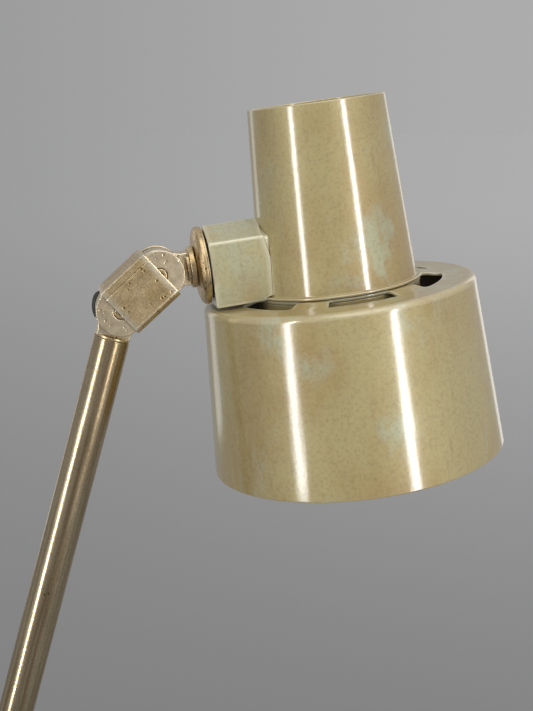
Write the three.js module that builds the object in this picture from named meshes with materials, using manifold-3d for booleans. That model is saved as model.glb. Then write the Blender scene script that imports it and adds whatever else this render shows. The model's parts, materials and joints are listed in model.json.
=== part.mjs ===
// Swing arm desk lamp: a round weighted base, a swivelling post, two tubular arms and a spun shade.
// Millimetres, +Z up, origin at the centre of the base's underside. The arms swing in the XZ plane.
import * as THREE from "three";
import { mergeVertices } from "three/addons/utils/BufferGeometryUtils.js";
import Module from "manifold-3d";

const wasm = await Module();
wasm.setup();

// Driving dimensions
const GAP = 0.3; // clearance kept between touching pieces
const SHEET = 1.2; // wall of the spun and folded sheet-metal pieces

const BASE_RADIUS = 86;
const BASE_HEIGHT = 30;
const TILT_HEIGHT = 64; // height of the lower arm's tilt bolt
const LOWER_ARM_LENGTH = 270; // pivot to pivot
const UPPER_ARM_LENGTH = 330;
const LOWER_ARM_LEAN = -18; // degrees from vertical, positive towards +X
const UPPER_ARM_LEAN = 15.7;
const ELBOW_LINK_LEAN = -1.2;
const HEAD_LINK_LEAN = 48;
const STEM_RISE = 7.75; // degrees above horizontal

const TUBE_RADIUS = 7.8;
const TUBE_WALL = 1.2;
const PIVOT_SPACING = 22.6; // between the two rivets of a link
const PLATE_RADIUS = 10.45;
const PLATE_INNER = 8.7; // half the space between a link's plates
const PLATE_THICKNESS = 2;
const TONGUE_RADIUS = 10.2;
const TONGUE_HALF = 5;
const SHOULDER = 11.9; // where a fitting becomes round, measured from its pivot
const RIVET_RADIUS = 2.2;
const HOLE_RADIUS = RIVET_RADIUS + GAP;
const RIVET_HEAD_RADIUS = 2.8;
const SPACER_RADIUS = 6.4;
const SLEEVE_LENGTH = 24.4;
const SLEEVE_WIDTH = 23.5;
const SLEEVE_DEPTH = 25.4;
const SLEEVE_WALL = 1;
const SLEEVE_CORNER = 2.4;

const STEM_RADIUS = 7.5;
const STEM_TO_AXIS = 77.4; // from the upper head pivot to the shade's axis
const STEM_HEIGHT = 21.8; // stem axis above the shade's reference plane
const DISC_RADIUS = 16.75;
const BRACKET_START = 56.1; // bracket's outer end, measured from the shade's axis
const BRACKET_HALF = 14;
const BRACKET_FLOOR = 4.4;
const BRACKET_FOLD = 32;
const BRACKET_RIDGE = 38.7;

const DRUM_TOP = 3; // outer face of the drum's top plate above the reference plane
const DRUM_TOP_RADIUS = 60;
const DRUM_MOUTH_RADIUS = 65.4;
const DRUM_DEPTH = 73; // mouth below the reference plane
const DRUM_HOLE_RADIUS = 31;
const SEAT_RISE = 1.1; // rise of the top plate from its flat part to the seat under the neck's lip
const SEAT_RADIUS = 38;
const SEAT_EDGE = 45; // where the rise begins
const SLOT_INNER = 36.2;
const SLOT_OUTER = 45.5;
const SLOT_COUNT = 6;
const DRUM_SIDES = 48;
const SLOT_ANGLE = 39; // degrees
const COLLAR_RADIUS = 35.8;
const COLLAR_DEPTH = 22;
const NECK_FOOT = 4.4;
const NECK_LIP_RADIUS = 37;
const NECK_FOOT_RADIUS = 34.8;
const NECK_TOP_RADIUS = 29.6;
const NECK_TOP = 83.5;
const NECK_RECESS = 3.6; // depth of the neck's top plate below its rim
const LIP_FILLET = 0.4; // rise from the lip into the neck

const WIDE = 40; // sides of the widest round pieces
const ROUND = 28; // sides of a medium round piece
const SMALL = 16; // sides of a small round piece

const rad = THREE.MathUtils.degToRad;
const { sin, cos, PI } = Math;

// Finishes
const finish = (color, roughness, metalness) => ({ color, roughness, metalness });
const LACQUER = finish(0xb5a77c, 0.42, 0.55);
const NICKEL = finish(0xb3a184, 0.38, 0.9);
const BLACK_PLASTIC = finish(0x16150f, 0.5, 0);
const CAST_IRON = finish(0x3a3a3c, 0.8, 0.4);
const STEEL = finish(0x8f8f8c, 0.4, 0.9);
const BRASS = finish(0xb08d4c, 0.35, 0.9);
const RUBBER = finish(0x1c1c1c, 0.9, 0);
const PORCELAIN = finish(0xe7e2d6, 0.3, 0);
const FROSTED_GLASS = finish(0xf2efe6, 0.25, 0);

const lamp = new THREE.Group();

// A named group placed in its parent, leaning by an angle about Y
function frameAt(x, z, leanDegrees, parent = lamp) {
  const frame = new THREE.Group();
  frame.position.set(x, 0, z);
  frame.rotation.y = rad(leanDegrees);
  parent.add(frame);
  return frame;
}

function addPiece(name, geometry, look, frame) {
  const mesh = new THREE.Mesh(geometry, new THREE.MeshStandardMaterial(look));
  mesh.name = name;
  frame.add(mesh);
  return mesh;
}

// Booleans
function toSolid(geometry) {
  const bare = geometry.clone();
  bare.deleteAttribute("normal");
  bare.deleteAttribute("uv");
  const merged = mergeVertices(bare, 1e-4);
  return new wasm.Manifold(new wasm.Mesh({
    numProp: 3,
    vertProperties: Float32Array.from(merged.attributes.position.array),
    triVerts: Uint32Array.from(merged.index.array),
  }));
}

function toGeometry(solid) {
  const mesh = solid.getMesh();
  const geometry = new THREE.BufferGeometry();
  geometry.setAttribute("position", new THREE.BufferAttribute(mesh.vertProperties, 3));
  geometry.setIndex(new THREE.BufferAttribute(mesh.triVerts, 1));
  return geometry;
}

function joined(...pieces) {
  return toGeometry(pieces.map(toSolid).reduce((sum, piece) => sum.add(piece)));
}

function cut(body, ...tools) {
  return toGeometry(tools.map(toSolid).reduce((rest, tool) => rest.subtract(tool), toSolid(body)));
}

// Basic shapes
// A solid of revolution about Z from [radius, height] pairs that run anticlockwise, outside rising
function turned(profile, sides = ROUND) {
  const points = profile.map(([radius, height]) => new THREE.Vector2(radius, height));
  return new THREE.LatheGeometry(points, sides).rotateX(PI / 2);
}

function rod(radius, low, high, sides = SMALL) {
  return turned([[0, low], [radius, low], [radius, high], [0, high]], sides);
}

function ring(inner, outer, low, high, sides = SMALL) {
  return turned([[inner, low], [outer, low], [outer, high], [inner, high], [inner, low]], sides);
}

function hexNut(boreRadius, cornerRadius, low, high) {
  return cut(rod(cornerRadius, low, high, 6), rod(boreRadius, low - 1, high + 1));
}

// Turns a shape made about Z so that its axis lies along Y
const acrossY = (geometry) => geometry.rotateX(PI / 2);
// Turns a shape made about Z so that its axis lies along X
const alongX = (geometry) => geometry.rotateY(PI / 2);

function block(sizeX, sizeY, sizeZ, x = 0, y = 0, z = 0) {
  return new THREE.BoxGeometry(sizeX, sizeY, sizeZ).translate(x, y, z);
}

// An outline in the XZ plane, given as [x, z] pairs or a Shape, made solid between two values of y
function slab(shape, low, high) {
  const depth = high - low;
  const solid = new THREE.ExtrudeGeometry(shape, { depth, bevelEnabled: false, curveSegments: 8 });
  return solid.rotateX(PI / 2).translate(0, high, 0);
}

function outline(points) {
  return new THREE.Shape(points.map(([x, z]) => new THREE.Vector2(x, z)));
}

// Round-ended outline about two centres at z = low and z = high, with a round hole at each
function stadium(radius, low, high, holeRadius) {
  const shape = new THREE.Shape();
  shape.absarc(0, high, radius, 0, PI, false);
  shape.absarc(0, low, radius, PI, 2 * PI, false);
  shape.closePath();
  for (const centre of [low, high]) {
    const hole = new THREE.Path();
    hole.absarc(0, centre, holeRadius, 0, 2 * PI, true);
    shape.holes.push(hole);
  }
  return shape;
}

// Base
const BASE_LIFT = 1.5; // cover's rim above the table, because the pad stands proud
const BASE_CROWN = 4; // rise of the cover's top from its edge to its middle
const COVER_CORNER = 9;
const BUSH_RADIUS = 9;
const BUSH_HEAD_RADIUS = 13;
const SHAFT_RADIUS = 6;
const WEIGHT_RADIUS = BASE_RADIUS - SHEET - 2.3;
const WEIGHT_FLOOR = 3.2;
const WEIGHT_TOP = 19;
const WELL_RADIUS = 15; // well in the weight for the post's nut
const SWITCH_OFFSET = 48; // switch in front of the post
const SWITCH_RADIUS = 8;
const SWITCH_RIM = 2.5; // width of the rim that holds the housing in the cover
const BUTTON_RADIUS = 5.1;
const SCREW_CIRCLE = 62;
const SCREW_RADIUS = 2.5;
const SCREW_HEAD_RADIUS = 4.2;
const SCREW_TIP = 13;
const SCREW_TURN = 30; // degrees from +X to the first screw
const GLAND_HEIGHT = 11;
const GLAND_RADIUS = 4;
const GLAND_BORE = 2.6;
const BUSH_FOOT = BASE_HEIGHT - 5;
const BUSH_TOP = BASE_HEIGHT + 2.5;

// Half of the cover's section: quarter round between its side and its crowned top
function coverLine(inset) {
  const side = BASE_RADIUS - inset;
  const corner = COVER_CORNER - inset;
  const edgeTop = BASE_HEIGHT - BASE_CROWN - inset;
  const line = [[side, BASE_LIFT]];
  for (let step = 0; step <= 2; step += 1) {
    const turn = rad(step * 40);
    line.push([side - corner * (1 - cos(turn)), edgeTop - corner + corner * sin(turn)]);
  }
  line.push([BUSH_RADIUS + GAP, BASE_HEIGHT - inset]);
  return line;
}

function buildBase(frame) {
  const outer = coverLine(0);
  const inner = coverLine(SHEET).reverse();
  const shell = turned([...outer, ...inner, outer[0]], WIDE);
  const switchHole = rod(SWITCH_RADIUS + GAP, 0, BASE_HEIGHT + 1).translate(0, -SWITCH_OFFSET, 0);
  const glandHole = acrossY(rod(GLAND_RADIUS + GAP, 0, BASE_RADIUS + 5));
  glandHole.translate(0, 0, GLAND_HEIGHT).rotateZ(PI);
  addPiece("base_cover", cut(shell, switchHole, glandHole), LACQUER, frame);

  const weight = ring(WELL_RADIUS, WEIGHT_RADIUS, WEIGHT_FLOOR, WEIGHT_TOP, WIDE);
  const switchWell = rod(SWITCH_RADIUS + 3, 6, 40).translate(0, -SWITCH_OFFSET, 0);
  const wireGroove = block(8, BASE_RADIUS, 20, 0, BASE_RADIUS / 2 + 5, GLAND_HEIGHT + 4);
  const screwHole = () => rod(SCREW_RADIUS + GAP, 0, SCREW_TIP + 1, 12);
  const screwHoles = [0, 1, 2].map((index) => screwAt(index, screwHole()));
  addPiece("base_weight", cut(weight, switchWell, wireGroove, ...screwHoles), CAST_IRON, frame);

  const pad = rod(BASE_RADIUS - 3, 0, WEIGHT_FLOOR - GAP, WIDE);
  const padHoles = [0, 1, 2].map((index) => screwAt(index, rod(SCREW_HEAD_RADIUS + 0.4, -1, 5, 12)));
  addPiece("base_pad", cut(pad, ...padHoles), RUBBER, frame);
  for (const index of [0, 1, 2]) {
    const head = rod(SCREW_HEAD_RADIUS, 1.2, WEIGHT_FLOOR - GAP, 12);
    const screw = joined(head, rod(SCREW_RADIUS, 2, SCREW_TIP, 12));
    addPiece(`base_screw_${index + 1}`, screwAt(index, screw), STEEL, frame);
  }

  const bush = turned([
    [SHAFT_RADIUS + GAP, BUSH_FOOT], [BUSH_RADIUS, BUSH_FOOT], [BUSH_RADIUS, BASE_HEIGHT + GAP],
    [BUSH_HEAD_RADIUS, BASE_HEIGHT + GAP], [BUSH_HEAD_RADIUS, BUSH_TOP],
    [SHAFT_RADIUS + GAP, BUSH_TOP], [SHAFT_RADIUS + GAP, BUSH_FOOT],
  ], SMALL);
  addPiece("swivel_bush", bush, BRASS, frame);

  const gland = turned([
    [GLAND_BORE, -12], [GLAND_RADIUS, -12], [GLAND_RADIUS, GAP], [7, GAP], [7, 3], [4.6, 5],
    [GLAND_BORE + 1, 9], [GLAND_BORE, 9], [GLAND_BORE, -12],
  ], SMALL);
  gland.rotateX(-PI / 2).translate(0, BASE_RADIUS, GLAND_HEIGHT);
  addPiece("cable_gland", gland, BLACK_PLASTIC, frame);

  const switchTop = BASE_HEIGHT - BASE_CROWN * (SWITCH_OFFSET / BASE_RADIUS);
  const rim = SWITCH_RADIUS + SWITCH_RIM;
  const well = BUTTON_RADIUS + 0.4;
  const housing = turned([
    [0, 8], [SWITCH_RADIUS, 8], [SWITCH_RADIUS, switchTop + 0.8], [rim, switchTop + 1.2],
    [rim, switchTop + 2.6], [well, switchTop + 3.4], [well, 14], [0, 14],
  ], SMALL);
  addPiece("switch_housing", housing.translate(0, -SWITCH_OFFSET, 0), BLACK_PLASTIC, frame);
  const button = turned([
    [0, 18], [BUTTON_RADIUS, 18], [BUTTON_RADIUS, switchTop + 6], [BUTTON_RADIUS - 0.9, switchTop + 7.2],
    [0, switchTop + 7.4],
  ], SMALL);
  addPiece("switch_button", button.translate(0, -SWITCH_OFFSET, 0), NICKEL, frame);
}

// Puts a shape at one of three places round the base, a third of a turn apart
function screwAt(index, geometry) {
  return geometry.translate(SCREW_CIRCLE, 0, 0).rotateZ(rad(SCREW_TURN + index * 120));
}

// Post: a shaft through the bush, a collar and a fork that holds the lower arm
const POST_FOOT = BUSH_TOP + GAP;
const EAR_INNER = TONGUE_HALF + GAP;
const EAR_OUTER = EAR_INNER + 3.6;
const FORK_FLOOR = TILT_HEIGHT - 13.5;
const NUT_TOP = BUSH_FOOT - 2 - GAP;
const KNOB_RADIUS = 9.6;
const KNOB_LENGTH = 13;
const KNOB_FLUTES = 8;

function buildPost(frame) {
  const body = turned([
    [0, 12], [SHAFT_RADIUS, 12], [SHAFT_RADIUS, POST_FOOT], [12, POST_FOOT], [12.5, POST_FOOT + 3],
    [10, FORK_FLOOR - 4], [EAR_OUTER + 1, FORK_FLOOR], [0, FORK_FLOOR],
  ]);
  const ear = outline([
    [-9, FORK_FLOOR - 3], [9, FORK_FLOOR - 3], [TONGUE_RADIUS, TILT_HEIGHT], [-TONGUE_RADIUS, TILT_HEIGHT],
  ]);
  const ears = [[-EAR_OUTER, -EAR_INNER], [EAR_INNER, EAR_OUTER]].flatMap(([low, high]) => [
    slab(ear, low, high),
    acrossY(rod(TONGUE_RADIUS, -high, -low, ROUND)).translate(0, 0, TILT_HEIGHT),
  ]);
  const boltHole = acrossY(rod(HOLE_RADIUS, -20, 20)).translate(0, 0, TILT_HEIGHT);
  addPiece("swivel_post", cut(joined(body, ...ears), boltHole), NICKEL, frame);

  addPiece("post_washer", ring(SHAFT_RADIUS + GAP, 12, NUT_TOP + GAP, NUT_TOP + 1.6), STEEL, frame);
  addPiece("post_nut", hexNut(SHAFT_RADIUS + GAP, 11, NUT_TOP - 7, NUT_TOP), STEEL, frame);

  const head = acrossY(turned([[0, -4], [4.4, -3.6], [5.6, -2], [5.6, 0], [0, 0]], SMALL));
  const bolt = joined(
    head.rotateZ(PI).translate(0, -EAR_OUTER - GAP, TILT_HEIGHT),
    acrossY(rod(RIVET_RADIUS, -EAR_OUTER - 10, EAR_OUTER + 1)).translate(0, 0, TILT_HEIGHT),
  );
  addPiece("tilt_bolt", bolt, STEEL, frame);

  const knob = turned([
    [HOLE_RADIUS, 0], [5, 0], [5, 2], [KNOB_RADIUS - 0.6, 3], [KNOB_RADIUS, 5],
    [KNOB_RADIUS, KNOB_LENGTH - 2], [KNOB_RADIUS - 1, KNOB_LENGTH], [0, KNOB_LENGTH],
    [0, KNOB_LENGTH - 1.5],
    [HOLE_RADIUS, KNOB_LENGTH - 1.5], [HOLE_RADIUS, 0],
  ], SMALL);
  knob.rotateX(-PI / 2).translate(0, EAR_OUTER + GAP, TILT_HEIGHT);
  const flutes = Array.from({ length: KNOB_FLUTES }, (_, index) => {
    const groove = acrossY(rod(1.6, -EAR_OUTER - 20, -EAR_OUTER - 2, 10));
    groove.translate(KNOB_RADIUS + 0.7, 0, 0).rotateY(index * 2 * PI / KNOB_FLUTES);
    return groove.translate(0, 0, TILT_HEIGHT);
  });
  addPiece("tilt_knob", cut(knob, ...flutes), BLACK_PLASTIC, frame);
}

// A fitting whose tongue turns on a rivet at the origin and whose round body runs along -Z
function tongueFitting(radius, bodyLength, spigotRadius, spigotLength) {
  const end = -SHOULDER - bodyLength;
  const disc = acrossY(rod(TONGUE_RADIUS, -TONGUE_HALF, TONGUE_HALF, ROUND));
  const neckLength = SHOULDER + bodyLength / 2;
  const neck = block(2 * radius - 1, 2 * TONGUE_HALF, neckLength, 0, 0, -neckLength / 2);
  const body = turned([[0, end], [radius, end], [radius, -SHOULDER], [0, -SHOULDER]], ROUND);
  const pieces = [disc, neck, body];
  if (spigotLength > 0) {
    pieces.push(rod(spigotRadius, end - spigotLength, end + 1, SMALL));
  }
  return cut(joined(...pieces), acrossY(rod(HOLE_RADIUS, -20, 20)));
}

// An arm: a tube with a tongue fitting plugged into each end, its lower pivot at the frame's origin
const PLUG_BODY = 1; // round part of a fitting between its shoulder and the tube
const PLUG_LENGTH = 16;

function buildArm(name, length, frame) {
  const start = SHOULDER + PLUG_BODY + GAP;
  const tube = ring(TUBE_RADIUS - TUBE_WALL, TUBE_RADIUS, start, length - start, ROUND);
  addPiece(`${name}_tube`, tube, NICKEL, frame);
  const plug = () => tongueFitting(TUBE_RADIUS, PLUG_BODY, TUBE_RADIUS - TUBE_WALL - GAP, PLUG_LENGTH);
  addPiece(`${name}_foot`, plug().rotateY(PI), NICKEL, frame);
  addPiece(`${name}_top`, plug().translate(0, 0, length), NICKEL, frame);
}

// A double-pivot link with its origin midway between the rivets: two plates, four spacers, two
// rivets and a folded sleeve round them
function buildLink(name, frame) {
  const half = PIVOT_SPACING / 2;
  const plateOuter = PLATE_INNER + PLATE_THICKNESS;
  const plateShape = stadium(PLATE_RADIUS, -half, half, HOLE_RADIUS);
  addPiece(`${name}_front_plate`, slab(plateShape, -plateOuter, -PLATE_INNER), NICKEL, frame);
  addPiece(`${name}_back_plate`, slab(plateShape, PLATE_INNER, plateOuter), NICKEL, frame);

  for (const [end, centre] of [["lower", -half], ["upper", half]]) {
    const headLow = plateOuter + GAP;
    const headHigh = headLow + 0.4;
    const rivet = turned([
      [0, -headHigh], [RIVET_HEAD_RADIUS, -headHigh], [RIVET_HEAD_RADIUS, -headLow],
      [RIVET_RADIUS, -headLow], [RIVET_RADIUS, headLow],
      [RIVET_HEAD_RADIUS, headLow], [RIVET_HEAD_RADIUS, headHigh], [0, headHigh],
    ], SMALL);
    addPiece(`${name}_${end}_rivet`, acrossY(rivet).translate(0, 0, centre), NICKEL, frame);
    for (const [side, sign] of [["front", -1], ["back", 1]]) {
      const spacer = ring(HOLE_RADIUS, SPACER_RADIUS, TONGUE_HALF + GAP, PLATE_INNER - GAP);
      acrossY(spacer).rotateZ(sign > 0 ? PI : 0).translate(0, 0, centre);
      addPiece(`${name}_${end}_${side}_spacer`, spacer, BLACK_PLASTIC, frame);
    }
  }

  const section = roundedRectangle(SLEEVE_WIDTH, SLEEVE_DEPTH, SLEEVE_CORNER);
  const bore = [SLEEVE_WIDTH - 2 * SLEEVE_WALL, SLEEVE_DEPTH - 2 * SLEEVE_WALL, SLEEVE_CORNER - SLEEVE_WALL];
  section.holes.push(roundedRectangle(...bore));
  const settings = { depth: SLEEVE_LENGTH, bevelEnabled: false, curveSegments: 3 };
  const sleeve = new THREE.ExtrudeGeometry(section, settings);
  addPiece(`${name}_sleeve`, sleeve.translate(0, 0, -SLEEVE_LENGTH / 2), NICKEL, frame);
}

function roundedRectangle(width, depth, radius) {
  const x = width / 2 - radius;
  const y = depth / 2 - radius;
  const shape = new THREE.Shape();
  shape.absarc(x, y, radius, 0, PI / 2, false);
  shape.absarc(-x, y, radius, PI / 2, PI, false);
  shape.absarc(-x, -y, radius, PI, 1.5 * PI, false);
  shape.absarc(x, -y, radius, 1.5 * PI, 2 * PI, false);
  shape.closePath();
  return shape;
}

// The lead as it shows between the plates, bulging out of the sleeve round the lower rivet. Its points
// are measured from that rivet's centre.
const LEAD_RADIUS = 1.4;
const LEAD_ROUTE = [
  [-8.6, 13], [-8.9, 6], [-9, -0.6], [-9.6, -3.4], [-8.2, -6], [-5.6, -8.4], [-2.6, -9.7],
];

function buildLinkLead(name, frame) {
  const points = LEAD_ROUTE.map(([x, z]) => new THREE.Vector3(x, 0, z - PIVOT_SPACING / 2));
  const route = new THREE.CatmullRomCurve3(points);
  const section = new THREE.Shape();
  section.absarc(0, 0, LEAD_RADIUS, 0, 2 * PI, false);
  const settings = { steps: 14, curveSegments: 4, extrudePath: route, bevelEnabled: false };
  const lead = new THREE.ExtrudeGeometry(section, settings);
  addPiece(name, lead.translate(0, (TONGUE_HALF + PLATE_INNER) / 2, 0), BLACK_PLASTIC, frame);
}

// Stem: the pivoting neck of the head, its axis along +X from the upper head pivot at the origin
const STEM_END = STEM_TO_AXIS - 64; // where the stem meets its small flange
const FLANGE_RADIUS = 8.95;
const FLANGE_BACK = STEM_END + 2.4;
const WASHER_THICKNESS = 0.3;
const DISC_BACK = STEM_TO_AXIS - BRACKET_START - WASHER_THICKNESS - 2 * GAP;
const NIPPLE_RADIUS = 5;

function buildStem(frame) {
  const body = tongueFitting(STEM_RADIUS, STEM_END - SHOULDER, 0, 0);
  body.rotateY(-PI / 2);
  const flange = alongX(rod(FLANGE_RADIUS, STEM_END - 0.1, FLANGE_BACK, ROUND));
  const nipple = alongX(rod(NIPPLE_RADIUS, STEM_END, DISC_BACK + 9, SMALL));
  addPiece("stem", joined(body, flange, nipple), NICKEL, frame);

  const front = FLANGE_BACK + GAP;
  const disc = turned([
    [NIPPLE_RADIUS + GAP, front], [9, front], [13.4, front + 0.3], [15.6, front + 1],
    [DISC_RADIUS, front + 2.2], [DISC_RADIUS, DISC_BACK - 0.6], [DISC_RADIUS - 0.6, DISC_BACK],
    [NIPPLE_RADIUS + GAP, DISC_BACK], [NIPPLE_RADIUS + GAP, front],
  ]);
  addPiece("stem_disc", alongX(disc), NICKEL, frame);
}

// Head, with its origin on the shade's axis in the reference plane and +X pointing away from the stem
const BRACKET_INSIDE = BRACKET_START - SHEET; // inner face of the bracket's outer end
const WASHER_RADIUS = 14.5;
const NECK_PLATE = NECK_TOP - NECK_RECESS; // upper face of the neck's top plate

// The bracket's section, an upright box with a ridged top, inset all round
function bracketSection(inset) {
  return outline([
    [-BRACKET_HALF + inset, BRACKET_FLOOR + inset], [BRACKET_HALF - inset, BRACKET_FLOOR + inset],
    [BRACKET_HALF - inset, BRACKET_FOLD - inset * 0.8], [0, BRACKET_RIDGE - inset * 1.1],
    [-BRACKET_HALF + inset, BRACKET_FOLD - inset * 0.8],
  ]);
}

// The bracket's section made solid from one x to another
function bracketPrism(inset, from, to) {
  const solid = slab(bracketSection(inset), 0, to - from);
  return solid.rotateZ(-PI / 2).translate(from, 0, 0);
}

function neckRadius(height) {
  return THREE.MathUtils.mapLinear(height, NECK_FOOT, NECK_TOP, NECK_FOOT_RADIUS, NECK_TOP_RADIUS);
}

function buildBracket(frame) {
  const stemHole = alongX(rod(NIPPLE_RADIUS + GAP, -BRACKET_START - 5, -BRACKET_START + 10));
  const shell = cut(
    bracketPrism(0, -BRACKET_START, -20),
    bracketPrism(SHEET, -BRACKET_INSIDE, -10),
    stemHole.translate(0, 0, STEM_HEIGHT),
  );
  const neckClearance = turned([
    [0, -5], [neckRadius(-5) + GAP, -5], [neckRadius(60) + GAP, 60], [0, 60],
  ], WIDE);
  const lipClearance = rod(NECK_LIP_RADIUS + GAP, 0, NECK_FOOT + SHEET + 2 * GAP + LIP_FILLET, WIDE);
  addPiece("bracket", cut(shell, neckClearance, lipClearance), LACQUER, frame);

  const washerBack = -BRACKET_START - GAP;
  const washer = ring(NIPPLE_RADIUS + GAP, WASHER_RADIUS, washerBack - WASHER_THICKNESS, washerBack, ROUND);
  addPiece("friction_washer", alongX(washer).translate(0, 0, STEM_HEIGHT), BLACK_PLASTIC, frame);
  const nut = hexNut(NIPPLE_RADIUS + GAP, 9, -BRACKET_INSIDE + GAP, -BRACKET_INSIDE + 4.5);
  addPiece("nipple_nut", alongX(nut).translate(0, 0, STEM_HEIGHT), STEEL, frame);
}

function buildNeck(frame) {
  const lipTop = NECK_FOOT + SHEET;
  const inner = (height) => neckRadius(height) - SHEET;
  const plateFloor = NECK_PLATE - SHEET;
  const hole = NIPPLE_RADIUS + GAP;
  const housing = turned([
    [inner(NECK_FOOT), NECK_FOOT], [NECK_LIP_RADIUS, NECK_FOOT], [NECK_LIP_RADIUS, lipTop],
    [neckRadius(lipTop), lipTop + LIP_FILLET], [NECK_TOP_RADIUS, NECK_TOP],
    [NECK_TOP_RADIUS - SHEET, NECK_TOP], [inner(NECK_PLATE), NECK_PLATE], [hole, NECK_PLATE],
    [hole, plateFloor], [inner(plateFloor), plateFloor], [inner(NECK_FOOT), NECK_FOOT],
  ], WIDE);
  addPiece("neck_housing", housing, LACQUER, frame);
}

function drumRadius(height) {
  return THREE.MathUtils.mapLinear(height, 0, -DRUM_DEPTH, DRUM_TOP_RADIUS, DRUM_MOUTH_RADIUS);
}

function ventSlot(index) {
  const half = rad(SLOT_ANGLE / 2);
  const shape = new THREE.Shape();
  shape.absarc(0, 0, SLOT_OUTER, -half, half, false);
  shape.absarc(0, 0, SLOT_INNER, half, -half, true);
  shape.closePath();
  const slot = new THREE.ExtrudeGeometry(shape, { depth: 10, bevelEnabled: false, curveSegments: 4 });
  return slot.translate(0, 0, -2).rotateZ((index + 0.5) * 2 * PI / SLOT_COUNT);
}

function buildDrum(frame) {
  const plateFloor = DRUM_TOP - SHEET;
  const seat = DRUM_TOP + SEAT_RISE;
  const drum = turned([
    [DRUM_MOUTH_RADIUS, -DRUM_DEPTH], [DRUM_TOP_RADIUS, 0], [DRUM_TOP_RADIUS - 0.9, DRUM_TOP - 0.9],
    [DRUM_TOP_RADIUS - 3, DRUM_TOP], [SEAT_EDGE, DRUM_TOP], [SEAT_RADIUS, seat], [DRUM_HOLE_RADIUS, seat],
    [DRUM_HOLE_RADIUS, seat - SHEET], [SEAT_RADIUS, seat - SHEET], [SEAT_EDGE, plateFloor],
    [DRUM_TOP_RADIUS - 3.2, plateFloor], [drumRadius(0) - SHEET, 0],
    [DRUM_MOUTH_RADIUS - SHEET, -DRUM_DEPTH], [DRUM_MOUTH_RADIUS, -DRUM_DEPTH],
  ], DRUM_SIDES);
  const slots = Array.from({ length: SLOT_COUNT }, (_, index) => ventSlot(index));
  addPiece("drum_shade", cut(drum, ...slots), LACQUER, frame);

  const collarTop = seat - SHEET - GAP;
  const collar = ring(COLLAR_RADIUS - 0.8, COLLAR_RADIUS, collarTop - COLLAR_DEPTH, collarTop, WIDE);
  addPiece("vent_collar", collar, LACQUER, frame);
}

// Lampholder and bulb, hanging from the neck's top on a hollow nipple
const HOLDER_TOP = 74;
const HOLDER_FOOT = 34;
const HOLDER_RADIUS = 19;
const CAP_RADIUS = 13;
const BULB_RADIUS = 30;
const BULB_CENTRE = -13;
const GLASS_WALL = 1;

function buildLampholder(frame) {
  const nipple = ring(3.4, NIPPLE_RADIUS, HOLDER_TOP - 6, NECK_TOP - 1, SMALL);
  addPiece("holder_nipple", nipple, BRASS, frame);
  const nut = hexNut(NIPPLE_RADIUS + GAP, 10, NECK_PLATE + GAP, NECK_PLATE + 2.1);
  addPiece("holder_nut", nut, BRASS, frame);

  const mouth = CAP_RADIUS + 1;
  const hole = NIPPLE_RADIUS + GAP;
  const holder = turned([
    [mouth, HOLDER_FOOT], [HOLDER_RADIUS - 2, HOLDER_FOOT], [HOLDER_RADIUS, HOLDER_FOOT + 2],
    [HOLDER_RADIUS, HOLDER_TOP - 14], [12, HOLDER_TOP], [hole, HOLDER_TOP],
    [hole, HOLDER_TOP - 10], [mouth, HOLDER_TOP - 12], [mouth, HOLDER_FOOT],
  ], ROUND);
  addPiece("lampholder", holder, PORCELAIN, frame);
  const disc = rod(11, HOLDER_TOP - 13.5, HOLDER_TOP - 12.5);
  const button = rod(4, HOLDER_TOP - 15.5, HOLDER_TOP - 13);
  addPiece("holder_contact", joined(disc, button), BRASS, frame);
}

// Half of the bulb's section, from the bottom of its globe up to its open neck
function bulbLine(inset) {
  const globe = BULB_RADIUS - inset;
  const neck = CAP_RADIUS - 0.5 - inset;
  const line = [[0, BULB_CENTRE - globe]];
  for (let angle = -70; angle <= 30; angle += 20) {
    line.push([globe * cos(rad(angle)), BULB_CENTRE + globe * sin(rad(angle))]);
  }
  line.push([20.5 - inset, 11], [16 - inset, 20], [neck, 28], [neck, HOLDER_FOOT + 1 - GAP]);
  return line;
}

function buildBulb(frame) {
  const cap = turned([
    [0, HOLDER_FOOT + 1], [CAP_RADIUS, HOLDER_FOOT + 1], [CAP_RADIUS, HOLDER_TOP - 19],
    [6, HOLDER_TOP - 16.5], [0, HOLDER_TOP - 15.8],
  ], SMALL);
  addPiece("bulb_cap", cap, BRASS, frame);

  const inside = bulbLine(GLASS_WALL).reverse();
  addPiece("bulb_glass", turned([...bulbLine(0), ...inside], ROUND), FROSTED_GLASS, frame);
}

// Places where one body hangs on the next
const along = (x, z, lean, length) => [x + length * sin(rad(lean)), z + length * cos(rad(lean))];

buildBase(lamp);
buildPost(lamp);

const lowerArm = [0, TILT_HEIGHT];
buildArm("lower_arm", LOWER_ARM_LENGTH, frameAt(...lowerArm, LOWER_ARM_LEAN));

const elbowLower = along(...lowerArm, LOWER_ARM_LEAN, LOWER_ARM_LENGTH);
const elbowMiddle = along(...elbowLower, ELBOW_LINK_LEAN, PIVOT_SPACING / 2);
buildLink("elbow", frameAt(...elbowMiddle, ELBOW_LINK_LEAN));

const elbowUpper = along(...elbowLower, ELBOW_LINK_LEAN, PIVOT_SPACING);
buildArm("upper_arm", UPPER_ARM_LENGTH, frameAt(...elbowUpper, UPPER_ARM_LEAN));

const headLower = along(...elbowUpper, UPPER_ARM_LEAN, UPPER_ARM_LENGTH);
const headLink = frameAt(...along(...headLower, HEAD_LINK_LEAN, PIVOT_SPACING / 2), HEAD_LINK_LEAN);
buildLink("head_link", headLink);
buildLinkLead("head_link_lead", headLink);

const headUpper = along(...headLower, HEAD_LINK_LEAN, PIVOT_SPACING);
const stemFrame = frameAt(...headUpper, -STEM_RISE);
buildStem(stemFrame);

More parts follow.
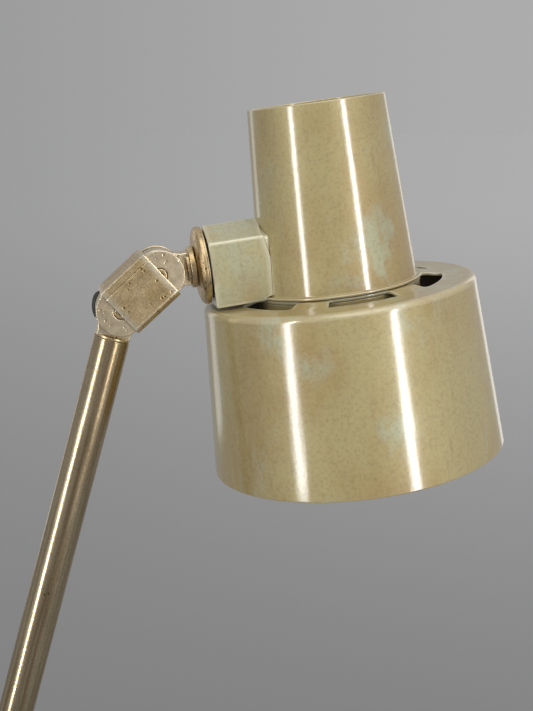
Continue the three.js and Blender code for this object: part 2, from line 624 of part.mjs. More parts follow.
const head = frameAt(STEM_TO_AXIS, -STEM_HEIGHT, 0, stemFrame);
buildBracket(head);
buildNeck(head);
buildDrum(head);
buildLampholder(head);
buildBulb(head);

export default lamp;
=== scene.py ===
"""Looks of the swing arm desk lamp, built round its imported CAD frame.

Shapes are given in millimetres in the axes of the member that they belong to, and become metres when
a mesh is made. Each member's axes come from the joints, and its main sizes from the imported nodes."""
import json
import math

import bmesh
import bpy
import numpy as np
from mathutils import Matrix, Vector
from mathutils.geometry import tessellate_polygon


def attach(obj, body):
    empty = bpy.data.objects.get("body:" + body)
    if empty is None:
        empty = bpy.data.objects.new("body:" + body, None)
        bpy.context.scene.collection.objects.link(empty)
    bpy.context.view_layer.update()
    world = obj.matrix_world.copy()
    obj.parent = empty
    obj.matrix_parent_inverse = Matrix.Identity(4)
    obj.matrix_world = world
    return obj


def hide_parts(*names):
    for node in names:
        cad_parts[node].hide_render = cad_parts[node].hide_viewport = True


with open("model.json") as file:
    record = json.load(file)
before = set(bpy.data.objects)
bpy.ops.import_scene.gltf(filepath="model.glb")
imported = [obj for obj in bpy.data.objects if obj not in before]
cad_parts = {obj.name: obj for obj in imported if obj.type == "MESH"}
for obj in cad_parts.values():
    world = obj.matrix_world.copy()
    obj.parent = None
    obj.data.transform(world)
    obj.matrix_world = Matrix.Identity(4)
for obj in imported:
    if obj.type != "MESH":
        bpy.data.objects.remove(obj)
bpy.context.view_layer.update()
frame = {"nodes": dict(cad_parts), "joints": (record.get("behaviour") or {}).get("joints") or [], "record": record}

MM = 0.001
SLOT_OF = {part["node"]: part["material_slot"] for part in frame["record"]["subparts"]}
BODY_OF = {node: body for body, nodes in frame["record"]["behaviour"]["bodies"].items() for node in nodes}

# ---------------------------------------------------------------- axes of each member

JOINTS = {joint["name"]: joint for joint in frame["joints"]}


def pivot(name):
    return Vector(JOINTS[name]["pos_m"])


def axes(origin, up):
    """Axes at origin with Z along up and Y along the lamp's own Y."""
    z = up.normalized()
    y = Vector((0, 1, 0))
    place = Matrix((y.cross(z), y, z)).transposed().to_4x4()
    place.translation = origin
    return place


def link_axes(lower, upper):
    """Axes midway between a link's two pivots, Z from the lower one to the upper one."""
    return axes((pivot(lower) + pivot(upper)) / 2, pivot(upper) - pivot(lower))


def span(node, place):
    """Lowest and highest corner of a CAD node in the axes given, in millimetres."""
    inverse = place.inverted()
    points = np.array([inverse @ v.co for v in frame["nodes"][node].data.vertices]) / MM
    return points.min(0), points.max(0)


BASE = Matrix.Identity(4)
LOWER_ARM = axes(pivot("lower_arm_tilt"), pivot("elbow_lower_pivot") - pivot("lower_arm_tilt"))
ELBOW = link_axes("elbow_lower_pivot", "elbow_upper_pivot")
UPPER_ARM = axes(pivot("elbow_upper_pivot"), pivot("head_lower_pivot") - pivot("elbow_upper_pivot"))
HEAD_LINK = link_axes("head_lower_pivot", "head_upper_pivot")
roll_axis = Vector(JOINTS["head_roll"]["axis"])
STEM = axes(pivot("head_upper_pivot"), roll_axis.cross(Vector((0, 1, 0))))

# The head's origin is on the shade's axis, in the plane where its rounded top edge ends
DRUM_TOP = 3.0
SEAT_RISE = 1.1
drum_low, drum_high = span("drum_shade", STEM)
shade_axis = (drum_low[0] + drum_high[0]) / 2
HEAD = STEM @ Matrix.Translation(Vector((shade_axis, 0, drum_high[2] - DRUM_TOP - SEAT_RISE)) * MM)

# ---------------------------------------------------------------- camera

AZIMUTH = -10.54  # degrees, 0 looks along +Y
ELEVATION = 11.76
DISTANCE = 499.06  # from the camera to the plane of the head's origin
SHIFT_RIGHT = 32.04  # the head's origin from the camera's own axis
SHIFT_UP = 27.6
LENS = 57.2


def make_camera():
    azimuth, elevation = math.radians(AZIMUTH), math.radians(ELEVATION)
    back = Vector((
        math.sin(azimuth) * math.cos(elevation), -math.cos(azimuth) * math.cos(elevation), math.sin(elevation)
    ))
    right = Vector((0, 0, 1)).cross(back).normalized()
    up = back.cross(right)
    data = bpy.data.cameras.new("camera")
    data.lens = LENS
    data.sensor_width = 36
    camera = bpy.data.objects.new("camera", data)
    bpy.context.scene.collection.objects.link(camera)
    turn = Matrix((right, up, back)).transposed().to_4x4()
    spot = HEAD.translation + (back * DISTANCE - right * SHIFT_RIGHT - up * SHIFT_UP) * MM
    camera.matrix_world = Matrix.Translation(spot) @ turn
    bpy.context.scene.camera = camera


# ---------------------------------------------------------------- outlines


def rounded(corners, closed=True, step=16):
    """Corners given as (x, y, radius) as a polyline in which each becomes an arc of its radius."""
    points = []
    count = len(corners)
    for index, (x, y, radius) in enumerate(corners):
        corner = Vector((x, y))
        inner = closed or 0 < index < count - 1
        if radius <= 0 or not inner:
            points.append((x, y))
            continue
        towards = (Vector(corners[index - 1][:2]) - corner).normalized()
        away = (Vector(corners[(index + 1) % count][:2]) - corner).normalized()
        half = towards.angle(away) / 2
        reach = radius / math.tan(half)
        centre = corner + (towards + away).normalized() * (radius / math.sin(half))
        turn = math.pi - 2 * half
        steps = max(2, math.ceil(math.degrees(turn) / step))
        start = corner + towards * reach - centre
        side = 1 if towards.cross(away) < 0 else -1
        for number in range(steps + 1):
            angle = side * turn * number / steps
            c, s = math.cos(angle), math.sin(angle)
            points.append((centre.x + start.x * c - start.y * s, centre.y + start.x * s + start.y * c))
    return points


def circle(radius, sides, x=0.0, y=0.0, start=0.0):
    angles = [start + 2 * math.pi * index / sides for index in range(sides)]
    return [(x + radius * math.cos(a), y + radius * math.sin(a)) for a in angles]


def inset(points, distance):
    """A closed outline moved inwards, to the left of its direction of travel."""
    loop = np.array(points, float)
    ahead = np.roll(loop, -1, 0) - loop
    ahead /= np.linalg.norm(ahead, axis=1)[:, None]
    behind = np.roll(ahead, 1, 0)
    left = np.stack([-(ahead[:, 1] + behind[:, 1]), ahead[:, 0] + behind[:, 0]], 1)
    left /= np.linalg.norm(left, axis=1)[:, None]
    shrink = np.maximum(0.4, -left[:, 0] * ahead[:, 1] + left[:, 1] * ahead[:, 0])
    return [tuple(p) for p in loop + left * (distance / shrink)[:, None]]


def resampled(points, count, closed=False):
    """count + 1 points at equal spacing along a polyline, or count round a closed one."""
    line = np.array([*points, points[0]] if closed else points, float)
    reach = np.concatenate([[0], np.cumsum(np.linalg.norm(np.diff(line, axis=0), axis=1))])
    wanted = np.linspace(0, reach[-1], count + 1)
    if closed:
        wanted = wanted[:-1]
    return [tuple(np.interp(w, reach, line[:, axis]) for axis in range(line.shape[1])) for w in wanted]


def split(profile, longest):
    """A polyline with its long stretches divided, so that none is longer than the length given."""
    points = [profile[0]]
    for before, after in zip(profile, profile[1:]):
        parts = max(1, math.ceil(math.dist(before, after) / longest))
        for number in range(1, parts + 1):
            share = number / parts
            points.append(tuple(b + (a - b) * share for b, a in zip(before, after)))
    return points


# ---------------------------------------------------------------- meshes


class Shape:
    """Points in millimetres and the faces between them."""

    def __init__(self):
        self.points = []
        self.faces = []

    def loop(self, points):
        start = len(self.points)
        self.points += [tuple(p) for p in points]
        return list(range(start, len(self.points)))

    def bridge(self, first, second, closed=True):
        """Faces between two rows of points. A row of one point is a tip."""
        count = max(len(first), len(second))
        for index in range(count if closed else count - 1):
            after = (index + 1) % count
            face = []
            if len(first) > 1:
                face += [first[index], first[after]]
            else:
                face.append(first[0])
            if len(second) > 1:
                face += [second[after], second[index]]
            else:
                face.append(second[0])
            self.faces.append(face)

    def strip(self, rows, closed_rows=True, ring=False):
        for first, second in zip(rows, rows[1:]):
            self.bridge(first, second, closed_rows)
        if ring:
            self.bridge(rows[-1], rows[0], closed_rows)

    def flat(self, *loops):
        """A flat face inside the first loop and round the others."""
        outlines = [[Vector(self.points[i]) for i in loop] for loop in loops]
        order = [i for loop in loops for i in loop]
        for triangle in tessellate_polygon(outlines):
            self.faces.append([order[i] for i in triangle])

    def mapped(self, function):
        self.points = [function(*p) for p in self.points]
        return self

    def moved(self, x=0.0, y=0.0, z=0.0):
        return self.mapped(lambda a, b, c: (a + x, b + y, c + z))

    def turned(self, degrees):
        """Turned about Z."""
        c, s = math.cos(math.radians(degrees)), math.sin(math.radians(degrees))
        return self.mapped(lambda x, y, z: (x * c - y * s, x * s + y * c, z))

    def along_y(self):
        """What rose along Z runs along Y."""
        return self.mapped(lambda x, y, z: (x, z, -y))

    def along_x(self):
        """What rose along Z runs along X."""
        return self.mapped(lambda x, y, z: (z, y, -x))


def lathe(profile, sides=96):
    """A solid of revolution about Z from (radius, height) pairs, which end on the axis or form a ring."""
    shape = Shape()
    rows = []
    for radius, height in profile:
        if radius < 1e-6:
            rows.append(shape.loop([(0, 0, height)]))
        else:
            rows.append(shape.loop([(x, y, height) for x, y in circle(radius, sides)]))
    shape.strip(rows, ring=len(rows[0]) > 1 and len(rows[-1]) > 1)
    return shape


def ring(inner, outer, low, high, inner_edge, outer_edge):
    """Section of a ring with its edges rounded."""
    return rounded([
        (inner, low, inner_edge), (outer, low, outer_edge),
        (outer, high, outer_edge), (inner, high, inner_edge),
    ])


def edge_levels(low, high, edge, steps=3):
    """(inset, height) pairs up the side of a slab whose two edges are rounded."""
    arc = [edge * math.sin(math.pi / 2 * k / steps) for k in range(steps + 1)]
    rise = [edge - edge * math.cos(math.pi / 2 * k / steps) for k in range(steps + 1)]
    lower = [(edge - a, low + r) for a, r in zip(arc, rise)]
    upper = [(i, low + high - h) for i, h in reversed(lower)]
    return lower + upper


def slab(outlines, low, high, edge=0.3):
    """Outlines, the outer one anticlockwise and the holes clockwise, made solid between two heights."""
    shape = Shape()
    bottoms, tops = [], []
    for outline in outlines:
        rows = [
            shape.loop([(x, y, height) for x, y in inset(outline, distance)])
            for distance, height in edge_levels(low, high, edge)
        ]
        shape.strip(rows)
        bottoms.append(rows[0])
        tops.append(rows[-1])
    shape.flat(*bottoms)
    shape.flat(*tops)
    return shape


def sleeve_wall(outer, inner, low, high, edge=0.25, rows_between=8):
    """A wall between two outlines of the same number of points, with its end edges rounded."""
    share = min(0.5, edge / math.dist(outer[0], inner[0]))
    # The middle of each rounded edge is this far in from both of its faces
    share_in, edge_in = share * 0.3, edge * 0.3
    shape = Shape()
    side = [low + edge + (high - low - 2 * edge) * k / rows_between for k in range(rows_between + 1)]
    soft = [(0, h) for h in side]
    soft += [(share_in, high - edge_in), (share, high), (1 - share, high), (1 - share_in, high - edge_in)]
    soft += [(1, h) for h in reversed(side)]
    soft += [(1 - share_in, low + edge_in), (1 - share, low), (share, low), (share_in, low + edge_in)]
    rows = []
    for t, height in soft:
        rows.append(shape.loop([
            (ox + (ix - ox) * t, oy + (iy - oy) * t, height) for (ox, oy), (ix, iy) in zip(outer, inner)
        ]))
    shape.strip(rows, ring=True)
    return shape


def tube_along(path, radius, sides):
    """A round rod with domed ends along a list of points."""
    points = [Vector(p) for p in path]
    shape = Shape()
    rows = []
    side = Vector((0, 1, 0))
    last = len(points) - 1
    for index, point in enumerate(points):
        ahead = (points[min(index + 1, last)] - points[max(index - 1, 0)]).normalized()
        across = ahead.cross(side).normalized()
        up = across.cross(ahead)
        size = radius * (0.6 if index in (0, last) else 1)
        rows.append(shape.loop([point + across * x + up * y for x, y in circle(size, sides)]))
    shape.strip(rows)
    for row, point, neighbour in ((rows[0], points[0], points[1]), (rows[-1], points[-1], points[-2])):
        tip = point + (point - neighbour).normalized() * radius * 0.4
        shape.bridge(row, shape.loop([tip]))
    return shape


def combined(first, *others, how="UNION"):
    """The first shape with the others joined to it, or cut from it with how="DIFFERENCE"."""
    made = []
    for number, shape in enumerate((first, *others)):
        mesh = bpy.data.meshes.new(f"part_{number}")
        mesh.from_pydata(shape.points, [], shape.faces)
        work = bmesh.new()
        work.from_mesh(mesh)
        bmesh.ops.remove_doubles(work, verts=work.verts, dist=1e-4)
        bmesh.ops.recalc_face_normals(work, faces=work.faces)
        work.to_mesh(mesh)
        work.free()
        made.append(bpy.data.objects.new(mesh.name, mesh))
        bpy.context.scene.collection.objects.link(made[-1])
    for other in made[1:]:
        step = made[0].modifiers.new("step", "BOOLEAN")
        step.operation = how
        step.solver = "EXACT"
        step.object = other
    bpy.context.view_layer.update()
    result = made[0].evaluated_get(bpy.context.evaluated_depsgraph_get()).to_mesh()
    shape = Shape()
    shape.points = [tuple(v.co) for v in result.vertices]
    shape.faces = [list(face.vertices) for face in result.polygons]
    for thing in made:
        bpy.data.meshes.remove(thing.data)
    return shape


INSIDE_BY = 0.7  # a point this far in from the outer radius is on the inner face


def mark_painted_inner_shade(mesh, radius_at):
    """Stores which points are on the inner face of a housing whose outer radius is given by height; the lacquer
    paints them dark as painted shade.
    """
    inside = [
        1.0 if math.hypot(v.co.x, v.co.y) / MM < radius_at(v.co.z / MM) - INSIDE_BY else 0.0
        for v in mesh.vertices
    ]
    mesh.attributes.new("inside", "FLOAT", "POINT").data.foreach_set("value", inside)


EDGE_WEAR_AND_HIGHLIGHT_FROM = 0.12  # the bend between two faces, in radians, where rubbed lightening and painted highlight start
EDGE_WEAR_AND_HIGHLIGHT_RANGE = 0.25  # and how much further it is complete


# Edge lightening: part real rubbing, part painted highlight on convex bends
def mark_edge_wear_and_highlight(mesh):
    """Stores how sharply each point stands proud, for edges lightened partly by real rubbing and partly as painted
    highlight.
    """
    work = bmesh.new()
    work.from_mesh(mesh)
    work.normal_update()
    edge_wear_and_highlight = []
    for vertex in work.verts:
        bend = max((e.calc_face_angle_signed(0) for e in vertex.link_edges), default=0)
        edge_wear_and_highlight.append(max(0.0, min(1.0, (bend - EDGE_WEAR_AND_HIGHLIGHT_FROM) / EDGE_WEAR_AND_HIGHLIGHT_RANGE)))
    work.free()
    mesh.attributes.new("edge_wear_and_highlight", "FLOAT", "POINT").data.foreach_set("value", edge_wear_and_highlight)


SHARP_EDGE = math.radians(38)


def piece(name, shape, place, node, look=None):
    """Makes a shape into an object that stands for a CAD node, on the node's body and in its slot.

    It has the look of that material slot, if no other is given."""
    body, slot = BODY_OF[node], SLOT_OF[node]
    mesh = bpy.data.meshes.new(name)
    mesh.from_pydata([Vector(p) * MM for p in shape.points], [], shape.faces)
    work = bmesh.new()
    work.from_mesh(mesh)
    bmesh.ops.remove_doubles(work, verts=work.verts, dist=2e-6)
    bmesh.ops.recalc_face_normals(work, faces=work.faces)
    work.to_mesh(mesh)
    work.free()
    mesh.polygons.foreach_set("use_smooth", [True] * len(mesh.polygons))
    mesh.set_sharp_from_angle(angle=SHARP_EDGE)
    mark_edge_wear_and_highlight(mesh)
    mesh.materials.append(look or SLOT_LOOKS[slot])
    made = bpy.data.objects.new(name, mesh)
    bpy.context.scene.collection.objects.link(made)
    made.matrix_world = place
    weighted = made.modifiers.new("even shading", "WEIGHTED_NORMAL")
    weighted.keep_sharp = True
    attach(made, body)
    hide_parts(node)
    return made


# ---------------------------------------------------------------- materials


def srgb(red, green, blue):
    """A display colour as the linear colour that a shader takes."""
    def linear(value):
        value /= 255
        return value / 12.92 if value <= 0.04045 else ((value + 0.055) / 1.055) ** 2.4
    return (linear(red), linear(green), linear(blue), 1.0)


class Look:
    """A material being made from nodes, in the object's own coordinates."""

    def __init__(self, name, **fixed):
        self.material = bpy.data.materials.new(name)
        self.material.use_nodes = True
        self.tree = self.material.node_tree
        self.tree.nodes.clear()
        self.shader = self.node("ShaderNodeBsdfPrincipled")
        output = self.node("ShaderNodeOutputMaterial")
        self.tree.links.new(self.shader.outputs[0], output.inputs[0])
        self.place = self.node("ShaderNodeTexCoord").outputs["Object"]
        for name, value in fixed.items():
            self.shader.inputs[name.replace("_", " ")].default_value = value

    def node(self, kind, inputs=None, **settings):
        made = self.tree.nodes.new(kind)
        for key, value in settings.items():
            setattr(made, key, value)
        for key, value in (inputs or {}).items():
            self.feed(made.inputs[key], value)
        return made

    def feed(self, socket, value):
        if isinstance(value, bpy.types.NodeSocket):
            self.tree.links.new(value, socket)
        else:
            socket.default_value = value

    def set(self, name, value):
        self.feed(self.shader.inputs[name], value)

    def stretched(self, x, y, z, shift=0.0):
        """The object's coordinates with each axis scaled."""
        return self.node("ShaderNodeMapping", {
            "Vector": self.place, "Scale": (x, y, z), "Location": (shift,) * 3,
        }).outputs[0]

    def noise(self, scale, detail=4.0, roughness=0.55, place=None):
        return self.node("ShaderNodeTexNoise", {
            "Vector": place or self.place, "Scale": scale, "Detail": detail, "Roughness": roughness,
        }).outputs[0]

    def spots(self, scale):
        """Distance from the nearest of many scattered points, in cells."""
        made = self.node("ShaderNodeTexVoronoi", {"Vector": self.place, "Scale": scale})
        return made.outputs["Distance"]

    def ramp(self, value, low, high, start=0.0, end=1.0):
        """Runs smoothly from start to end as value goes from low to high."""
        return self.node("ShaderNodeMapRange", {
            "Value": value, "From Min": low, "From Max": high, "To Min": start, "To Max": end,
        }, interpolation_type="SMOOTHSTEP").outputs[0]

    def maths(self, operation, first, second):
        return self.node("ShaderNodeMath", {0: first, 1: second}, operation=operation).outputs[0]

    def times(self, first, second):
        return self.maths("MULTIPLY", first, second)

    def mix(self, share, first, second):
        """The first colour where share is 0, and the second where it is 1."""
        return self.node("ShaderNodeMix", {0: share, 6: first, 7: second}, data_type="RGBA").outputs[2]

    def stored(self, name):
        """A value that the mesh holds at each of its points."""
        return self.node("ShaderNodeAttribute", attribute_name=name).outputs["Fac"]

    def bump(self, height, distance, strength, under=None):
        inputs = {"Height": height, "Distance": distance, "Strength": strength}
        if under is not None:
            inputs["Normal"] = under
        return self.node("ShaderNodeBump", inputs).outputs[0]


def make_lacquer(name, fade):
    """Pale gold metallic lacquer, mottled with age, lighter at its edges partly by real rubbing and partly as
    painted highlight, faded to grey-green, and painted dark brown on inner faces as painted shade.
    """
    look = Look(name, Metallic=0.25, Coat_Weight=1.0, Coat_Roughness=0.13, Coat_IOR=1.9, IOR=1.45)
    gold = srgb(184, 169, 117)
    warm = srgb(174, 149, 94)
    faded = srgb(180, 182, 152)
    pale = srgb(222, 214, 182)
    dark = srgb(116, 92, 52)
    speck = srgb(84, 48, 22)
    clouds = look.noise(24, 6, 0.62, look.stretched(1, 1, 0.55))
    colour = look.mix(look.ramp(clouds, 0.36, 0.64), gold, warm)
    faint = look.noise(1, 6, 0.65, look.stretched(52, 52, 30, 3.1))
    upright = look.noise(1, 4, 0.6, look.stretched(120, 120, 16, 1.7))
    where = look.ramp(look.noise(17, 3, 0.5), 0.44 - fade, 0.58 - fade)
    patches = look.times(look.ramp(faint, 0.5 - fade, 0.64 - fade), where)
    patches = look.times(patches, look.ramp(upright, 0.3, 0.55, 0.35, 0.8))
    colour = look.mix(patches, colour, faded)
    grain = look.noise(700, 4, 0.75)
    colour = look.mix(look.ramp(grain, 0.44, 0.7, 0, 0.3), colour, dark)
    streaks = look.noise(1, 5, 0.7, look.stretched(300, 300, 24))
    colour = look.mix(look.ramp(streaks, 0.55, 0.75, 0, 0.22), colour, dark)
    dots = look.ramp(look.spots(140), 0.05, 0.1, 1, 0)
    pepper = look.times(dots, look.ramp(look.noise(26, 2), 0.6, 0.68))
    colour = look.mix(pepper, colour, speck)
    # Edges lighten to pale: partly real rubbing, partly painted highlight
    colour = look.mix(look.times(look.stored("edge_wear_and_highlight"), 0.75), colour, pale)
    # Inner faces of the neck and shade are painted dark brown, as painted shade in their hollows
    inside = look.mix(look.ramp(look.noise(60, 4), 0.35, 0.65), srgb(74, 58, 34), srgb(48, 36, 20))
    colour = look.mix(look.stored("inside"), colour, inside)
    look.set("Base Color", colour)
    look.set("Roughness", look.ramp(look.noise(60, 4, 0.6), 0.3, 0.7, 0.46, 0.58))
    dents = look.bump(look.noise(1, 3, 0.5, look.stretched(30, 30, 7)), 0.0009, 0.5)
    look.set("Normal", look.bump(grain, 0.00005, 0.5, dents))
    fine = look.noise(1, 4, 0.7, look.stretched(900, 900, 300))
    look.tree.links.new(look.bump(fine, 0.00003, 0.7, dents), look.shader.inputs["Coat Normal"])
    return look.material


def make_nickel():
    """Warm aged nickel plate with fine brown and green pits."""
    look = Look("nickel", Metallic=1.0, IOR=1.5)
    bright = srgb(232, 208, 164)
    dull = srgb(206, 178, 130)
    brown = srgb(112, 88, 46)
    colour = look.mix(look.ramp(look.noise(110, 6, 0.65), 0.3, 0.7), bright, dull)
    grain = look.noise(1500, 4, 0.75)
    colour = look.mix(look.ramp(grain, 0.44, 0.66, 0, 0.55), colour, brown)
    places = look.ramp(look.noise(100, 3, 0.6), 0.47, 0.55)
    pits = look.times(look.ramp(look.spots(420), 0.18, 0.3, 1, 0), places)
    colour = look.mix(look.times(pits, 0.8), colour, srgb(104, 80, 22))
    # Edges lighten to near white: partly real rubbing, partly painted highlight
    colour = look.mix(look.times(look.stored("edge_wear_and_highlight"), 0.7), colour, srgb(250, 240, 218))
    look.set("Base Color", colour)
    look.set("Roughness", look.ramp(look.noise(260, 5, 0.65), 0.3, 0.7, 0.27, 0.37))
    relief = look.maths("SUBTRACT", look.times(grain, 0.5), pits)
    look.set("Normal", look.bump(relief, 0.0001, 0.5))
    return look.material


def make_tube():
    """Nickel-plated steel tube, brown with age, with drawn lines along it."""
    look = Look("tube_nickel", Metallic=1.0, IOR=1.5)
    drawn = look.noise(1, 5, 0.7, look.stretched(420, 420, 9))
    colour = look.mix(look.ramp(drawn, 0.35, 0.7), srgb(206, 190, 160), srgb(158, 134, 98))
    grain = look.noise(1300, 4, 0.75)
    colour = look.mix(look.ramp(grain, 0.46, 0.68, 0, 0.4), colour, srgb(92, 70, 38))
    dots = look.ramp(look.spots(300), 0.1, 0.2, 1, 0)
    stains = look.times(dots, look.ramp(look.noise(60, 3), 0.56, 0.64))
    colour = look.mix(look.times(stains, 0.7), colour, srgb(74, 54, 26))
    look.set("Base Color", colour)
    dulled = look.noise(1, 4, 0.6, look.stretched(200, 200, 20))
    look.set("Roughness", look.ramp(dulled, 0.3, 0.7, 0.2, 0.3))
    look.set("Normal", look.bump(look.maths("ADD", drawn, look.times(grain, 0.3)), 0.00004, 0.5))
    return look.material


def make_plain(name, light, dark, roughness, metal=0.0, scale=120.0, depth=0.00005, **fixed):
    """A material of two close colours mottled together, with a fine grain."""
    look = Look(name, Metallic=metal, **fixed)
    colour = look.mix(look.ramp(look.noise(scale, 5, 0.6), 0.35, 0.7), srgb(*light), srgb(*dark))
    # Edges lighten: partly real rubbing, partly painted highlight
    worn_and_highlit = srgb(*[min(255, value + 60) for value in light])
    look.set("Base Color", look.mix(look.times(look.stored("edge_wear_and_highlight"), 0.35), colour, worn_and_highlit))
    dulled = look.noise(scale * 2, 4, 0.6)
    look.set("Roughness", look.ramp(dulled, 0.3, 0.7, roughness - 0.06, roughness + 0.08))
    look.set("Normal", look.bump(look.noise(scale * 9, 3, 0.6), depth, 0.6))
    return look.material


SLOT_LOOKS = {
    "lacquer": make_lacquer("lacquer", 0.0),
    "nickel": make_nickel(),
    "black_plastic": make_plain("black_plastic", (26, 25, 22), (14, 14, 13), 0.45),
    "steel": make_plain("steel", (168, 168, 165), (128, 126, 120), 0.34, 1.0),
    "brass": make_plain("brass", (206, 168, 92), (164, 124, 60), 0.32, 1.0),
    "cast_iron": make_plain("cast_iron", (62, 62, 64), (42, 42, 44), 0.7, 0.6, depth=0.0003),
    "rubber": make_plain("rubber", (30, 30, 30), (20, 20, 20), 0.85, depth=0.0001),
    "porcelain": make_plain(
        "porcelain", (236, 232, 220), (224, 216, 198), 0.22, Coat_Weight=0.5, Coat_Roughness=0.08
    ),
    "bulb_glass": make_plain(
        "bulb_glass", (246, 243, 234), (236, 231, 218), 0.3, scale=40,
        Transmission_Weight=0.25, Coat_Weight=0.4
    ),
}
FADED_LACQUER = make_lacquer("faded_lacquer", 0.14)
TUBE = make_tube()

# ---------------------------------------------------------------- head

NECK_WALL = 1.2
NECK_RECESS = 3.6
SHAFT_HOLE = 5.3  # for the stem's end and for the lampholder's nipple
LIP_RADIUS = 37.0
NECK_FOOT_RADIUS = 34.8
NECK_TOP_RADIUS = 29.6
neck_low, neck_high = (value[2] for value in span("neck_housing", HEAD))
LIP_TOP = neck_low + NECK_WALL


def neck_radius(height):
    share = (height - neck_low) / (neck_high - neck_low)
    return NECK_FOOT_RADIUS + (NECK_TOP_RADIUS - NECK_FOOT_RADIUS) * share


def build_neck():
    plate = neck_high - NECK_RECESS
    inner = neck_radius(plate) - NECK_WALL
    profile = rounded([
        (neck_radius(neck_low) - NECK_WALL, neck_low, 0.3), (LIP_RADIUS, neck_low, 0.55),
        (LIP_RADIUS, LIP_TOP, 0.5), (neck_radius(LIP_TOP), LIP_TOP, 0.45),
        (NECK_TOP_RADIUS, neck_high, 0.45), (NECK_TOP_RADIUS - NECK_WALL, neck_high, 0.4),
        (inner, plate, 0.5), (SHAFT_HOLE, plate, 0.3),
        (SHAFT_HOLE, plate - NECK_WALL, 0.2), (inner, plate - NECK_WALL, 0.6),
    ])
    shape = lathe(split([*profile, profile[0]], longest=4)[:-1], 168)
    neck = piece("neck", shape, HEAD, "neck_housing")
    below = plate - NECK_WALL / 2
    mark_painted_inner_shade(neck.data, lambda height: neck_radius(height) if height < below else 0)


SLOTS = 6
SLOT_INNER = 36.2
SLOT_OUTER = 45.5
SLOT_ANGLE = 39.0
SLOT_CORNER = 1.2
SLOT_EDGE = 0.35
SEAT_RADIUS = 38.0
SEAT_EDGE = 45.0
DRUM_CORNER = 3.0
DRUM_WALL = 1.2
DRUM_HOLE = 31.0
DRUM_TOP_RADIUS = 60.0
ACROSS = 26  # divisions of each sector's outer edge
DEEP = 10  # divisions of each sector's side


def slot_outline(grow):
    """Outline of one slot, its corners rounded, in parts that match its sector's four sides."""
    middle = (SLOT_INNER + SLOT_OUTER) / 2
    half = math.radians(SLOT_ANGLE / 2) * middle + grow
    low, high = SLOT_INNER - grow, SLOT_OUTER + grow
    corners = ((half, high), (half, low), (-half, low), (-half, high))
    line = rounded([(x, y, SLOT_CORNER + grow) for x, y in corners], step=12)
    per_corner = len(line) // 4
    middle_point = per_corner // 2
    line = line[middle_point:] + line[:middle_point]
    sides = [line[k * per_corner:(k + 1) * per_corner + 1] for k in range(4)]
    sides[3].append(line[0])
    ordered = [sides[3], sides[0], sides[1], sides[2]]
    points = []
    for number, side in enumerate(ordered):
        points += resampled(side, ACROSS if number % 2 == 0 else DEEP)[:-1]
    return [(s / middle, r) for s, r in points]


def sector_edge(inner, outer):
    """Edge of one sector as (angle, radius), in step with slot_outline."""
    half = math.pi / SLOTS
    line = [(-half + 2 * half * k / ACROSS, outer) for k in range(ACROSS)]
    line += [(half, outer + (inner - outer) * k / DEEP) for k in range(DEEP)]
    line += [(half - 2 * half * k / ACROSS, inner) for k in range(ACROSS)]
    line += [(-half, inner + (outer - inner) * k / DEEP) for k in range(DEEP)]
    return line


def seat_rise(radius):
    """How far the top plate has risen at a radius, on its way in to the seat under the neck."""
    share = min(1.0, max(0.0, (SEAT_EDGE - radius) / (SEAT_EDGE - SEAT_RADIUS)))
    return SEAT_RISE * share * share * (3 - 2 * share)


def build_drum():
    top, underside = DRUM_TOP, DRUM_TOP - DRUM_WALL
    low, high = span("drum_shade", HEAD)
    mouth, mouth_radius = low[2], high[1]
    slope = (mouth_radius - DRUM_TOP_RADIUS) / mouth
    top_edge = DRUM_TOP_RADIUS - DRUM_CORNER - 1

    def wall_at(height):
        return DRUM_TOP_RADIUS + slope * height

    profile = rounded([
        (top_edge, top, 0), (wall_at(top), top, DRUM_CORNER), (mouth_radius, mouth, 0.5),
        (mouth_radius - DRUM_WALL, mouth, 0.4),
        (wall_at(underside) - DRUM_WALL, underside, DRUM_CORNER - DRUM_WALL), (top_edge, underside, 0),
    ], closed=False, step=11)
    hole = rounded([
        (DRUM_HOLE + 1, underside, 0), (DRUM_HOLE, underside, 0.3),
        (DRUM_HOLE, top, 0.3), (DRUM_HOLE + 1, top, 0),
    ], closed=False)
    shape = Shape()
    for line, rise in ((split(profile, longest=4), 0), (hole, SEAT_RISE)):
        shape.strip([
            shape.loop([
                (x, y, height + rise) for x, y in circle(radius, SLOTS * ACROSS, start=-math.pi / SLOTS)
            ])
            for radius, height in line
        ])

    def put(line, height, turn):
        """A loop from (angle, radius) pairs, turned to its sector and raised with the seat."""
        return shape.loop([
            (r * math.cos(a + turn), r * math.sin(a + turn), height + seat_rise(r)) for a, r in line
        ])

    edge = np.array(sector_edge(DRUM_HOLE + 1, top_edge))
    near = np.array(slot_outline(SLOT_EDGE))
    for sector in range(SLOTS):
        turn = sector * 2 * math.pi / SLOTS
        walls = [
            put(slot_outline(grow), height, turn) for grow, height in edge_levels(underside, top, SLOT_EDGE)
        ]
        shape.strip(walls)
        for height, wall in ((underside, walls[0]), (top, walls[-1])):
            between = [put(edge + (near - edge) * k / 6, height, turn) for k in range(6)]
            shape.strip([*between, wall])
    # The slots lie a half pitch from the stem, where a sector's middle is
    shape.turned(180 / SLOTS)
    drum = piece("drum", shape, HEAD, "drum_shade")
    below = underside - 0.2
    mark_painted_inner_shade(drum.data, lambda height: wall_at(height) if height < below else 0)


BRACKET_WALL = 1.2
BRACKET_EDGE = 0.5
BRACKET_SIDE = 27.6  # height of its sides, up to the fold
SEAM = 0.12
CORNER_REACH = 11.0
CORNER_RELIEF = 2.4


